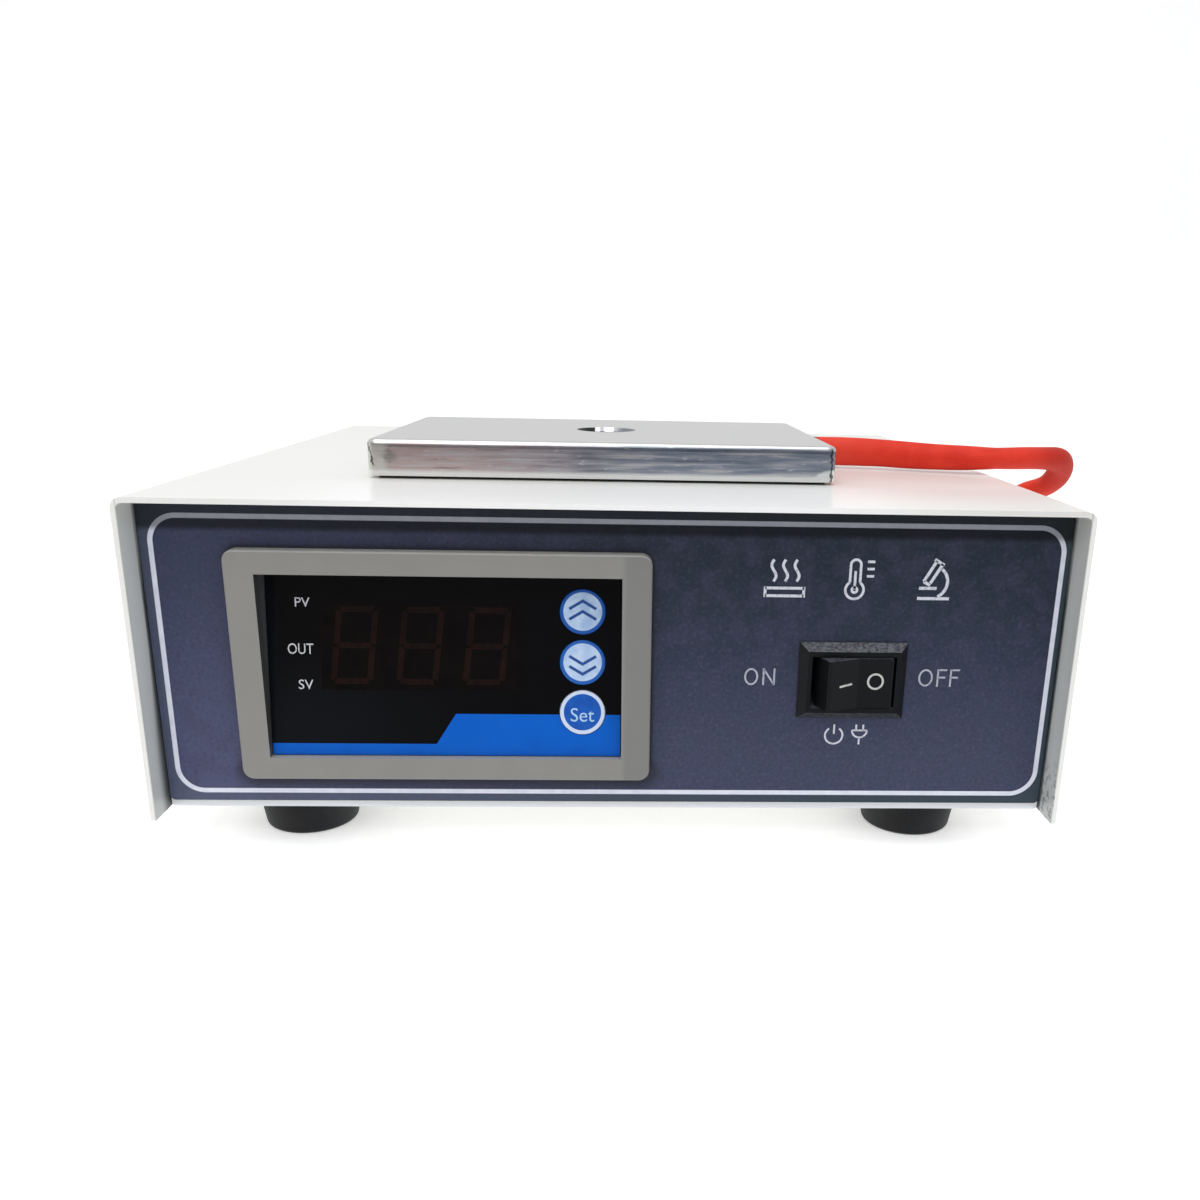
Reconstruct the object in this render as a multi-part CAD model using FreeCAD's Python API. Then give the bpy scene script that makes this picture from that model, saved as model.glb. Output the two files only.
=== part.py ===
import FreeCAD, Part
import math
import os
from FreeCAD import Placement, Rotation, Vector

# Microscope warm stage: a heated aluminium plate on a folded steel control box.
# Millimetres. X to the right, Y to the back, Z up.
# The origin is on the surface that the feet stand on, under the middle of the box.

os.makedirs("parts", exist_ok=True)

X = Vector(1, 0, 0)
Y = Vector(0, 1, 0)
Z = Vector(0, 0, 1)

# Cover: one folded sheet, a top with two sides
cover_width = 176.5
cover_depth = 167.6
cover_height = 62.0
cover_sheet = 1.0
cover_bend = 2.0
lip = 6.7
cover_screw_inset = 33.0
cover_screw_rise = 6.5

# Base: one folded sheet, a floor with the front panel, the rear panel and two side flanges
base_sheet = 1.0
base_bend = 1.6
base_drop = 0.6
side_gap = 0.25
top_gap = 0.4
flange_height = 13.0
flange_relief = 3.0

# Printed film on the front panel
overlay_thick = 0.3
overlay_rise = 1.4
overlay_corner = 1.0

# Rubber feet
foot_height = 8.4
foot_top_radius = 10.7
foot_floor_radius = 9.3
foot_edge = 0.9
foot_inset_x = 24.1
foot_inset_y = 22.0
foot_pocket_depth = 4.6
foot_pocket_radius = 4.6

# Screws: thread radius, and the clearance that a hole has round it
m3_radius = 1.5
m4_radius = 2.0
hole_clearance = 0.1
loose_clearance = 0.25
head_ratio = 1.85
head_height_ratio = 1.2
nut_ratio = 1.85
nut_height_ratio = 1.5
head_round_share = 0.45
slot_depth_share = 0.45
cross_reach_share = 0.95
cross_half_share = 0.16
thread_past_nut = 1.0
slot_half = 0.4
slot_reach_share = 0.8

# Temperature controller in the front panel
controller_inset = 56.15
controller_rise = 29.5
frame_width = 79.0
frame_height = 45.2
frame_proud = 2.5
frame_corner = 2.2
frame_edge = 0.5
frame_border_x = 5.6
frame_border_z = 4.5
recess_bottom = 1.4
recess_top = 6.1
face_gap = 0.2
face_thick = 1.2
housing_margin = 1.4
housing_depth = 82.0
housing_wall = 1.3
housing_corner = 1.0
cutout_gap = 0.3
vent_count = 9
vent_width = 1.6
vent_length = 22.0
vent_pitch = 4.0
clip_depth = 12.0
clip_width = 3.6
clip_height = 9.0
clip_slope_share = 0.7

# Keys of the controller, and the small switches behind them
key_inset = 7.6
key_radius = 4.4
key_gap = 0.15
key_proud = 0.2
key_flange = 0.35
key_flange_thick = 0.6
key_stem_radius = 1.5
key_travel = 0.5
key_first_rise = 9.0
key_pitch = 9.9
key_names = ["key_set", "key_down", "key_up"]
tact_size = 6.0
tact_height = 3.0
key_stop = 0.1

# Display and boards of the controller
led_x = -4.5
led_rise = 21.8
led_width = 38.4
led_height = 19.0
led_depth = 7.0
led_gap = 0.15
board_thick = 1.6
board_gap = 0.15
display_board_margin = 1.6
main_board_drop = 10.0
main_board_start = 17.0
main_board_length = 56.0
relay_size = (19.0, 15.5, 15.3)
relay_right = 6.0
relay_back = 24.0
supply_size = (22.0, 20.0, 18.0)
supply_right = -28.0
supply_back = 18.0
module_corner = 0.7
capacitor_back = 9.0
capacitor_radius = 4.0
capacitor_height = 12.5
strip_width = 50.0
strip_height = 11.0
strip_depth = 15.0
strip_ways = 6
strip_well_radius = 2.6
strip_well_depth = 4.0
clamp_height_share = 0.5

# Rocker switch
switch_inset = 41.55
switch_rise = 27.5
bezel_width = 21.0
bezel_height = 15.4
bezel_proud = 2.0
bezel_bevel = 1.5
switch_mouth_width = 16.4
switch_mouth_height = 10.4
switch_wall = 1.2
switch_depth = 13.0
switch_floor = 2.6
rocker_pivot_depth = 2.2
rocker_swing = 11.5
rocker_gap = 0.2
rocker_crest = 6.7
rocker_crest_height = 6.0
rocker_valley_height = 4.7
rocker_shoulder = 7.5
rocker_back = 2.6
rocker_side = 1.0
rocker_end_round = 0.5
rocker_middle_round = 1.2
rocker_pin_radius = 1.2
rocker_pin_clearance = 0.05
rocker_pin_length = 0.7
blade_width = 4.8
blade_thick = 0.8
blade_length = 8.0
blade_pitch = 7.6
blade_hole_radius = 0.9
blade_hole_share = 0.7

# Mains inlet, fuse holder and lead bushing in the rear panel
inlet_inset = 40.25
inlet_rise = 27.0
inlet_flange_width = 50.0
inlet_flange_height = 24.0
inlet_flange_thick = 3.0
inlet_flange_corner = 5.0
rear_edge = 0.6
inlet_body_width = 27.6
inlet_body_height = 20.2
inlet_body_depth = 17.0
inlet_mouth_width = 24.2
inlet_mouth_height = 16.4
inlet_mouth_depth = 16.0
inlet_mouth_chamfer = 4.2
inlet_mouth_corner = 1.5
inlet_screw_pitch = 40.0
inlet_pin_pitch = 7.0
inlet_pin_drop = 2.0
inlet_pin_width = 4.0
inlet_pin_thick = 2.0
inlet_pin_stop = 5.2
inlet_tab_length = 8.0
inlet_pin_edge = 0.5
fuse_step = 40.0
fuse_body_radius = 6.0
fuse_body_depth = 24.0
fuse_flange_radius = 7.6
fuse_flange_thick = 1.6
fuse_cap_radius = 5.6
fuse_cap_height = 3.6
fuse_slot_width = 1.2
fuse_slot_depth = 1.0
fuse_nut_thick = 3.0
fuse_nut_radius = 8.6
fuse_tab_length = 7.0
fuse_tab_half = 2.4
bushing_rise = 13.0
bushing_radius = 4.6
bushing_flange_radius = 6.2
bushing_nose = 5.4
bushing_nose_radius = 3.9
bushing_bore = 2.0
bushing_grip = 0.9
bushing_grip_length = 2.5
bushing_flange_thick = 1.2
bushing_step = 0.8

# Transformer
trafo_inset_x = 44.25
trafo_inset_y = 49.8
core_width = 57.0
core_height = 47.5
core_stack = 24.0
core_leg = 19.0
core_window = 9.5
core_window_height = 28.5
bobbin_gap = 0.1
bobbin_wall = 1.0
bobbin_flange = 39.5
winding_inset = 0.6
winding_corner = 3.0
strap_thick = 1.2
strap_gap = 0.1
strap_ear = 9.5
strap_bend_ratio = 1.5

# Terminal block and earth stud on the floor
block_inset_x = 48.25
block_inset_y = 41.8
block_length = 52.0
block_width = 17.0
block_height = 13.0
block_ways = 4
block_way_pitch = 9.5
block_well_radius = 3.0
block_well_depth = 5.0
block_foot_inset = 4.0
block_corner = 1.5
block_channel_half = 1.8
block_channel_low = 3.0
block_channel_high = 6.0
block_hole_share = 0.75
block_thread_share = 0.6
earth_inset_x = 12.25
earth_inset_y = 47.8
earth_stud_length = 12.0

# Heated stage
stage_x = -2.45
stage_y = -17.65
stage_turn = 0.25
stage_width = 96.9
stage_depth = 68.4
stage_height = 8.0
stage_rim_gap = 0.6
stage_sheet = 1.5
stage_corner = 2.0
stage_edge = 1.2
stage_fit = 0.15
light_radius = 6.05
light_bevel = 0.85
light_tube_wall = 1.1
stage_base_thick = 2.0
heater_thick = 1.5
heater_inset = 8.5
heater_corner = 4.0
post_radius = 2.6
post_inset = 5.2
post_bore_depth = 3.0
post_thread = 2.4
countersink_share = 0.8
countersink_sink = 0.05
countersink_slot_half = 0.3
countersink_slot_depth = 0.7
sensor_radius = 1.2
sensor_length = 14.0
sensor_x = 22.0
sensor_end_gap = 0.5
sensor_round = 0.5
exit_rise = 3.95
exit_neck_radius = 2.5
exit_flange_radius = 3.3
exit_flange_thick = 1.6
exit_flange_edge = 0.3
exit_neck_inside = 0.1
exit_bore = 1.5

# Lead from the stage to the box, in a soft red sleeve
lead_radius = 2.8
lead_first_run = 12.0
coil_x = 57.0
coil_gap = 12.0
coil_turn_radius = 33.0
coil_turns = 2.5
coil_pitch = 5.8
coil_lift = 0.8
tie_width = 9.0
tie_thick = 0.5
tie_gap = 0.2
coil_round = 1.2
run_stub = 22.0
tail_stub = 20.0
tail_slope = 0.12

# Worked-out levels and planes
underside = foot_height
wall_bottom = underside + base_drop
cover_top = wall_bottom + cover_height
floor_top = underside + base_sheet
half_width = cover_width / 2
half_depth = cover_depth / 2
base_half = half_width - cover_sheet - side_gap
panel_top = cover_top - cover_sheet - top_gap
face_front = -half_depth + lip
panel_front = face_front + overlay_thick
panel_inside = panel_front + base_sheet
rear_face = half_depth - lip
rear_inside = rear_face - base_sheet
foot_x = half_width - foot_inset_x
foot_y = half_depth - foot_inset_y
controller_x = -half_width + controller_inset
controller_z = wall_bottom + controller_rise
switch_x = half_width - switch_inset
switch_z = wall_bottom + switch_rise
inlet_x = -half_width + inlet_inset
inlet_z = wall_bottom + inlet_rise
fuse_x = inlet_x + fuse_step
fuse_z = inlet_z
bushing_z = wall_bottom + bushing_rise
trafo_x = half_width - trafo_inset_x
trafo_y = half_depth - trafo_inset_y
block_x = -half_width + block_inset_x
block_y = half_depth - block_inset_y
earth_x = -half_width + earth_inset_x
earth_y = half_depth - earth_inset_y
frame_front = face_front - frame_proud
window_width = frame_width - 2 * frame_border_x
window_height = frame_height - 2 * frame_border_z
housing_width = window_width + 2 * housing_margin
housing_height = window_height + 2 * housing_margin
display_board_height = window_height - 2 * display_board_margin
key_x = window_width / 2 - key_inset
window_bottom = controller_z - window_height / 2
lean = math.degrees(math.atan2(recess_top - recess_bottom, window_height))
face_length = window_height / math.cos(math.radians(lean))
rocker_y = face_front + rocker_pivot_depth
cover_screw_y = half_depth - cover_screw_inset
cover_screw_z = wall_bottom + cover_screw_rise
countersink_depth = m3_radius * head_height_ratio * countersink_share
coil_floor = lead_radius + coil_lift
coil_upper = coil_floor + coil_pitch * math.floor(coil_turns)
coil_y = half_depth + coil_gap + coil_turn_radius + lead_radius
bushing_x = coil_x - coil_turn_radius
bushing_end = rear_face + bushing_nose


# Small tools for shapes

def block(x0, x1, y0, y1, z0, z1):
    return Part.makeBox(x1 - x0, y1 - y0, z1 - z0, Vector(x0, y0, z0))


def rod(radius, length, start, direction):
    return Part.makeCylinder(radius, length, start, direction)


def taper(radius_start, radius_end, length, start, direction):
    return Part.makeCone(radius_start, radius_end, length, start, direction)


def lines_along(shape, axis, chosen=None):
    picked = []
    for edge in shape.Edges:
        if edge.Curve.TypeId != "Part::GeomLine":
            continue
        direction = edge.tangentAt(edge.FirstParameter)
        if abs(direction.dot(axis)) < 0.999:
            continue
        if chosen is None or chosen(edge.CenterOfMass):
            picked.append(edge)
    return picked


def round_along(shape, axis, radius, chosen=None):
    return shape.makeFillet(radius, lines_along(shape, axis, chosen))


def edges_at(shape, axis, level):
    picked = []
    for edge in shape.Edges:
        low = min(vertex.Point.dot(axis) for vertex in edge.Vertexes)
        high = max(vertex.Point.dot(axis) for vertex in edge.Vertexes)
        if abs(low - level) < 0.001 and abs(high - level) < 0.001:
            picked.append(edge)
    return picked


def prism(points, depth):
    wire = Part.makePolygon(points + [points[0]])
    return Part.Face(wire).extrude(depth)


def turned(profile, centre, axis):
    wire = Part.makePolygon(profile + [profile[0]])
    return Part.Face(wire).revolve(centre, axis, 360)


def hexagon(across, length, start, direction):
    radius = across / math.sqrt(3)
    side = Vector(0, 0, 1) if abs(direction.z) < 0.5 else Vector(1, 0, 0)
    points = []
    for step in range(6):
        turn = Rotation(direction, 60 * step)
        points.append(start + turn.multVec(side) * radius)
    return prism(points, direction * length)


def pan_screw(radius, length, seat, direction):
    # The head stands on the seat, and the shank runs the other way
    head_radius = radius * head_ratio
    head_height = radius * head_height_ratio
    head = rod(head_radius, head_height, seat, direction)
    rim = edges_at(head, direction, seat.dot(direction) + head_height)
    head = head.makeFillet(head_height * head_round_share, rim)
    shank = rod(radius, length, seat, direction * -1)
    slot_depth = head_height * slot_depth_share
    start = seat + direction * (head_height - slot_depth)
    screw = head.fuse(shank)
    for angle in (0, 90):
        reach = radius * cross_reach_share
        half = radius * cross_half_share
        bar = block(-reach, reach, -half, half, 0, head_height)
        bar.rotate(Vector(), Z, angle)
        bar.Placement = Placement(start, Rotation(Z, direction)).multiply(bar.Placement)
        screw = screw.cut(bar)
    return screw


def hex_nut(radius, seat, direction):
    height = radius * nut_height_ratio
    nut = hexagon(radius * nut_ratio * 2, height, seat, direction)
    bore = rod(radius + hole_clearance, height, seat, direction)
    return nut.cut(bore)


def face_place(shape):
    # From upright axes at the window's lower edge to the face's lean
    origin = Vector(controller_x, frame_front + recess_bottom, window_bottom)
    shape = shape.copy()
    shape.Placement = Placement(origin, Rotation(X, -lean)).multiply(shape.Placement)
    return shape


def stage_frame():
    return Placement(Vector(stage_x, stage_y, cover_top), Rotation(Z, stage_turn))


def stage_place(shape):
    shape = shape.copy()
    shape.Placement = stage_frame().multiply(shape.Placement)
    return shape


nodes = {}


def keep(name, shape):
    nodes[name] = shape


# Cover and base

def cover_screw_seats():
    seats = []
    for side in (-1, 1):
        for end in (-1, 1):
            seats.append((Vector(side * half_width, end * cover_screw_y, cover_screw_z), X * side))
    return seats


def make_cover():
    outer = block(-half_width, half_width, -half_depth, half_depth, wall_bottom, cover_top)
    outer = round_along(outer, Y, cover_bend, lambda c: c.z > cover_top - cover_bend)
    inner_half = half_width - cover_sheet
    inner_top = cover_top - cover_sheet
    inner = block(-inner_half, inner_half, -half_depth - 1, half_depth + 1, wall_bottom - 1, inner_top)
    inner = round_along(inner, Y, cover_bend - cover_sheet, lambda c: c.z > inner_top - cover_bend)
    cover = outer.cut(inner)
    for seat, outward in cover_screw_seats():
        hole = rod(m3_radius + loose_clearance, cover_sheet * 2, seat, outward * -1)
        cover = cover.cut(hole)
    return cover


def make_cover_screws():
    screws = []
    for seat, outward in cover_screw_seats():
        length = cover_sheet + side_gap + base_sheet + 4.0
        screws.append(pan_screw(m3_radius, length, seat, outward))
    return Part.makeCompound(screws)


def foot_places():
    places = {}
    for end, end_name in ((-1, "front"), (1, "rear")):
        for side, side_name in ((-1, "left"), (1, "right")):
            places["foot_" + end_name + "_" + side_name] = Vector(side * foot_x, end * foot_y, 0)
    return places


def strap_hole_places():
    reach = core_width / 2 + strap_gap + strap_thick + strap_ear / 2
    return [Vector(trafo_x + side * reach, trafo_y, underside) for side in (-1, 1)]


def block_hole_places():
    reach = block_length / 2 - block_foot_inset
    return [Vector(block_x + side * reach, block_y, underside) for side in (-1, 1)]


def inlet_hole_places():
    reach = inlet_screw_pitch / 2
    return [Vector(inlet_x + side * reach, rear_face, inlet_z) for side in (-1, 1)]


def controller_cutout(grow, y0, y1):
    reach_x = housing_width / 2 + grow
    reach_z = housing_height / 2 + grow
    left = controller_x - reach_x
    right = controller_x + reach_x
    return block(left, right, y0, y1, controller_z - reach_z, controller_z + reach_z)


def switch_cutout(grow, y0, y1):
    reach_x = switch_mouth_width / 2 + switch_wall + grow
    reach_z = switch_mouth_height / 2 + switch_wall + grow
    return block(switch_x - reach_x, switch_x + reach_x, y0, y1, switch_z - reach_z, switch_z + reach_z)


def make_base():
    outer = block(-base_half, base_half, panel_front, rear_face, underside, panel_top)
    outer = round_along(outer, X, base_bend, lambda c: c.z < underside + base_bend)
    inner = block(-base_half - 1, base_half + 1, panel_inside, rear_inside, floor_top, panel_top + 1)
    inner = round_along(inner, X, base_bend - base_sheet, lambda c: c.z < floor_top + base_bend)
    base = outer.cut(inner)
    flange_front = panel_inside + flange_relief
    flange_rear = rear_inside - flange_relief
    for side in (-1, 1):
        near = min(side * base_half, side * (base_half - base_sheet))
        flange = block(near, near + base_sheet, flange_front, flange_rear,
                       underside, underside + flange_height)
        base = base.fuse(flange)
    base = base.cut(controller_cutout(cutout_gap, panel_front - 1, panel_inside + 1))
    base = base.cut(switch_cutout(cutout_gap, panel_front - 1, panel_inside + 1))
    body_x = inlet_body_width / 2 + cutout_gap
    body_z = inlet_body_height / 2 + cutout_gap
    base = base.cut(block(inlet_x - body_x, inlet_x + body_x, rear_inside - 1, rear_face + 1,
                          inlet_z - body_z, inlet_z + body_z))
    for place in inlet_hole_places():
        base = base.cut(rod(m3_radius + hole_clearance, base_sheet, place, Y * -1))
    fuse_seat = Vector(fuse_x, rear_face, fuse_z)
    base = base.cut(rod(fuse_body_radius + cutout_gap, base_sheet, fuse_seat, Y * -1))
    bushing_seat = Vector(bushing_x, rear_face, bushing_z)
    base = base.cut(rod(bushing_radius + hole_clearance, base_sheet, bushing_seat, Y * -1))
    for place in foot_places().values():
        base = base.cut(rod(m4_radius + hole_clearance, base_sheet, place + Z * underside, Z))
    for place in strap_hole_places():
        base = base.cut(rod(m4_radius + hole_clearance, base_sheet, place, Z))
    for place in block_hole_places():
        base = base.cut(rod(m3_radius + hole_clearance, base_sheet, place, Z))
    earth_seat = Vector(earth_x, earth_y, underside)
    base = base.cut(rod(m4_radius + hole_clearance, base_sheet, earth_seat, Z))
    for seat, outward in cover_screw_seats():
        start = seat - outward * (cover_sheet + side_gap)
        base = base.cut(rod(m3_radius + hole_clearance, base_sheet, start, outward * -1))
    return base.removeSplitter()


def make_overlay():
    sheet = block(-base_half, base_half, face_front, panel_front, wall_bottom + overlay_rise, panel_top)
    sheet = round_along(sheet, Y, overlay_corner)
    sheet = sheet.cut(controller_cutout(cutout_gap, face_front - 1, panel_front + 1))
    return sheet.cut(switch_cutout(cutout_gap, face_front - 1, panel_front + 1))


# Feet

def make_foot(place):
    foot = taper(foot_floor_radius, foot_top_radius, foot_height, place, Z)
    foot = foot.makeFillet(foot_edge, edges_at(foot, Z, 0))
    foot = foot.cut(rod(foot_pocket_radius, foot_pocket_depth, place, Z))
    return foot.cut(rod(m4_radius + loose_clearance, foot_height, place, Z))


def make_foot_screws():
    screws = []
    for place in foot_places().values():
        seat = place + Z * foot_pocket_depth
        length = floor_top - foot_pocket_depth + m4_radius * nut_height_ratio + thread_past_nut
        screws.append(pan_screw(m4_radius, length, seat, Z * -1))
    return Part.makeCompound(screws)


# Temperature controller

def make_controller_frame():
    left = controller_x - frame_width / 2
    low = controller_z - frame_height / 2
    frame = block(left, left + frame_width, frame_front, face_front, low, low + frame_height)
    frame = round_along(frame, Y, frame_corner)
    frame = frame.makeFillet(frame_edge, edges_at(frame, Y, frame_front))
    window_left = controller_x - window_width / 2
    window = block(window_left, window_left + window_width, frame_front - 1, face_front + 1,
                   window_bottom, window_bottom + window_height)
    return frame.cut(window)


def make_controller_housing():
    rear = face_front + housing_depth
    outer = controller_cutout(0, face_front, rear)
    outer = round_along(outer, Y, housing_corner)
    inner = controller_cutout(-housing_wall, face_front - 1, rear - housing_wall)
    housing = outer.cut(inner)
    reach_x = strip_width / 2 + board_gap
    reach_z = strip_height / 2 + board_gap
    slot = block(controller_x - reach_x, controller_x + reach_x, rear - housing_wall - 1, rear + 1,
                 controller_z - reach_z, controller_z + reach_z)
    housing = housing.cut(slot)
    vents_y = face_front + housing_depth / 2 - vent_length / 2
    for step in range(vent_count):
        middle = controller_x + (step - (vent_count - 1) / 2) * vent_pitch
        vent = block(middle - vent_width / 2, middle + vent_width / 2, vents_y, vents_y + vent_length,
                     controller_z - housing_height, controller_z + housing_height)
        housing = housing.cut(vent)
    return housing


def make_controller_face():
    half = window_width / 2 - face_gap
    face = block(-half, half, 0, face_thick, face_gap, face_length - face_gap)
    for row in range(len(key_names)):
        centre = Vector(key_x, 0, key_first_rise + row * key_pitch)
        face = face.cut(rod(key_radius + key_gap, face_thick, centre, Y))
    return face_place(face)


def tact_front():
    return face_thick + led_gap + led_depth - tact_height


def make_key(row):
    rise = key_first_rise + row * key_pitch
    cap_length = key_proud + face_thick + key_gap
    cap = rod(key_radius, cap_length, Vector(key_x, -key_proud, rise), Y)
    cap = cap.makeFillet(key_proud * 0.9, edges_at(cap, Y, -key_proud))
    flange_start = face_thick + key_gap
    flange = rod(key_radius + key_flange, key_flange_thick, Vector(key_x, flange_start, rise), Y)
    stem_start = flange_start + key_flange_thick
    stem_length = tact_front() - key_travel - key_stop - stem_start
    stem = rod(key_stem_radius, stem_length, Vector(key_x, stem_start, rise), Y)
    return face_place(cap.fuse(flange).fuse(stem))


def make_key_switches():
    half = tact_size / 2
    switches = []
    for row in range(len(key_names)):
        rise = key_first_rise + row * key_pitch
        body = block(key_x - half, key_x + half, tact_front(), tact_front() + tact_height,
                     rise - half, rise + half)
        switches.append(face_place(body))
    return Part.makeCompound(switches)


def make_display():
    near = face_thick + led_gap
    body = block(led_x - led_width / 2, led_x + led_width / 2, near, near + led_depth,
                 led_rise - led_height / 2, led_rise + led_height / 2)
    return face_place(body)


def make_display_board():
    near = face_thick + led_gap + led_depth
    half = housing_width / 2 - housing_wall - board_gap
    low = (face_length - display_board_height) / 2
    board = block(-half, half, near, near + board_thick, low, low + display_board_height)
    return face_place(board)


def main_board_level():
    return controller_z - main_board_drop


def make_main_board():
    half = housing_width / 2 - housing_wall - board_gap
    front = face_front + main_board_start
    top = main_board_level()
    return block(controller_x - half, controller_x + half, front, front + main_board_length,
                 top - board_thick, top)


def on_board(size, right, back):
    low = main_board_level()
    front = face_front + main_board_start + back
    left = controller_x + right
    return block(left, left + size[0], front, front + size[1], low, low + size[2])


def make_relay():
    relay = on_board(relay_size, relay_right, relay_back)
    return round_along(relay, Z, module_corner)


def make_supply():
    supply = on_board(supply_size, supply_right, supply_back)
    return round_along(supply, Z, module_corner)


def make_capacitor():
    centre = Vector(controller_x, face_front + main_board_start + capacitor_back, main_board_level())
    can = rod(capacitor_radius, capacitor_height, centre, Z)
    return can.makeFillet(module_corner, edges_at(can, Z, main_board_level() + capacitor_height))


def strip_wells():
    rear = face_front + housing_depth - housing_wall + strip_depth / 2
    pitch = strip_width / strip_ways
    wells = []
    for step in range(strip_ways):
        across = controller_x + (step - (strip_ways - 1) / 2) * pitch
        wells.append(Vector(across, rear, controller_z))
    return wells


def make_terminal_strip():
    middle = face_front + housing_depth - housing_wall
    strip = block(controller_x - strip_width / 2, controller_x + strip_width / 2,
                  middle - strip_depth / 2, middle + strip_depth / 2,
                  controller_z - strip_height / 2, controller_z + strip_height / 2)
    for well in strip_wells():
        strip = strip.cut(rod(strip_well_radius, strip_well_depth, well, Y * -1))
    return strip


def make_strip_screws():
    screws = []
    for well in strip_wells():
        seat = well - Y * strip_well_depth
        height = strip_well_depth * clamp_height_share
        screw = rod(strip_well_radius - hole_clearance, height, seat, Y)
        reach = strip_well_radius * slot_reach_share
        slot = block(-reach, reach, 0, height, -slot_half, slot_half)
        slot.translate(seat + Y * height / 2)
        screws.append(screw.cut(slot))
    return Part.makeCompound(screws)


def slope_clip(arm, outer_edge):
    slope = clip_width * clip_slope_share
    return round_along(arm, Z, slope, lambda c: abs(c.x - outer_edge) < 0.1 and c.y > panel_inside + 1)


def make_clips():
    clips = []
    reach = housing_width / 2 + hole_clearance
    for side in (-1, 1):
        near = controller_x + side * reach
        far = near + side * clip_width
        low = controller_z - clip_height / 2
        arm = block(min(near, far), max(near, far), panel_inside, panel_inside + clip_depth,
                    low, low + clip_height)
        clips.append(slope_clip(arm, far))
    return Part.makeCompound(clips)


# Rocker switch

def make_switch_body():
    front = face_front - bezel_proud
    base_x = bezel_width / 2
    base_z = bezel_height / 2
    bezel = block(switch_x - base_x, switch_x + base_x, front, face_front,
                  switch_z - base_z, switch_z + base_z)
    bezel = bezel.makeChamfer(bezel_bevel, edges_at(bezel, Y, front))
    body = switch_cutout(0, face_front, face_front + switch_depth)
    body = bezel.fuse(body)
    mouth_x = switch_mouth_width / 2
    mouth_z = switch_mouth_height / 2
    mouth_back = face_front + switch_depth - switch_floor
    mouth = block(switch_x - mouth_x, switch_x + mouth_x, front - 1, mouth_back,
                  switch_z - mouth_z, switch_z + mouth_z)
    body = body.cut(mouth)
    pin_reach = switch_mouth_height / 2 + rocker_pin_length + rocker_gap
    start = Vector(switch_x, rocker_y, switch_z - pin_reach)
    body = body.cut(rod(rocker_pin_radius + rocker_pin_clearance, pin_reach * 2, start, Z))
    return body.removeSplitter()


def make_rocker():
    # Drawn in its middle position, then turned so that the right half is pressed in
    points = [
        Vector(-rocker_crest, -rocker_crest_height, 0),
        Vector(0, -rocker_valley_height, 0),
        Vector(rocker_crest, -rocker_crest_height, 0),
        Vector(rocker_shoulder, -rocker_side, 0),
        Vector(rocker_crest, rocker_side, 0),
        Vector(rocker_pin_radius * 2, rocker_back, 0),
        Vector(-rocker_pin_radius * 2, rocker_back, 0),
        Vector(-rocker_crest, rocker_side, 0),
        Vector(-rocker_shoulder, -rocker_side, 0),
    ]
    half = switch_mouth_height / 2 - rocker_gap
    rocker = prism(points, Z * half * 2)
    rocker.translate(Z * -half)
    rocker = round_along(rocker, Z, rocker_end_round, lambda c: abs(c.x) > 1 and c.y < -rocker_valley_height)
    rocker = round_along(rocker, Z, rocker_middle_round, lambda c: abs(c.x) < 1 and c.y < 0)
    pin_half = half + rocker_gap + rocker_pin_length
    rocker = rocker.fuse(rod(rocker_pin_radius, pin_half * 2, Z * -pin_half, Z))
    rocker.rotate(Vector(), Z, rocker_swing)
    rocker.translate(Vector(switch_x, rocker_y, switch_z))
    return rocker


def make_switch_blades():
    blades = []
    start = face_front + switch_depth
    for side in (-1, 1):
        middle = switch_x + side * blade_pitch / 2
        blade = block(middle - blade_thick / 2, middle + blade_thick / 2, start, start + blade_length,
                      switch_z - blade_width / 2, switch_z + blade_width / 2)
        hole_start = Vector(middle - blade_thick, start + blade_length * blade_hole_share, switch_z)
        blade = blade.cut(rod(blade_hole_radius, blade_thick * 2, hole_start, X))
        blades.append(blade)
    return Part.makeCompound(blades)


# Mains inlet, fuse holder and lead bushing

def make_inlet_body():
    half_x = inlet_flange_width / 2
    half_z = inlet_flange_height / 2
    top = rear_face + inlet_flange_thick
    flange = block(inlet_x - half_x, inlet_x + half_x, rear_face, top, inlet_z - half_z, inlet_z + half_z)
    flange = round_along(flange, Y, inlet_flange_corner)
    flange = flange.makeFillet(rear_edge, edges_at(flange, Y, top))
    body_x = inlet_body_width / 2
    body_z = inlet_body_height / 2
    body = block(inlet_x - body_x, inlet_x + body_x, rear_face - inlet_body_depth, rear_face,
                 inlet_z - body_z, inlet_z + body_z)
    inlet = flange.fuse(body)
    mouth_x = inlet_mouth_width / 2
    mouth_z = inlet_mouth_height / 2
    mouth = block(inlet_x - mouth_x, inlet_x + mouth_x, top - inlet_mouth_depth, top + 1,
                  inlet_z - mouth_z, inlet_z + mouth_z)
    corners = lines_along(mouth, Y, lambda c: c.z > inlet_z)
    mouth = mouth.makeChamfer(inlet_mouth_chamfer, corners)
    mouth = round_along(mouth, Y, inlet_mouth_corner, lambda c: c.z < inlet_z)
    inlet = inlet.cut(mouth)
    for place in inlet_hole_places():
        inlet = inlet.cut(rod(m3_radius + loose_clearance, inlet_flange_thick, place, Y))
    for pin in inlet_pin_places():
        inlet = inlet.cut(inlet_pin_block(pin, hole_clearance))
    return inlet.removeSplitter()


def inlet_pin_places():
    places = [Vector(inlet_x + side * inlet_pin_pitch, 0, inlet_z - inlet_pin_drop) for side in (-1, 1)]
    places.append(Vector(inlet_x, 0, inlet_z + inlet_pin_drop))
    return places


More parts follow.
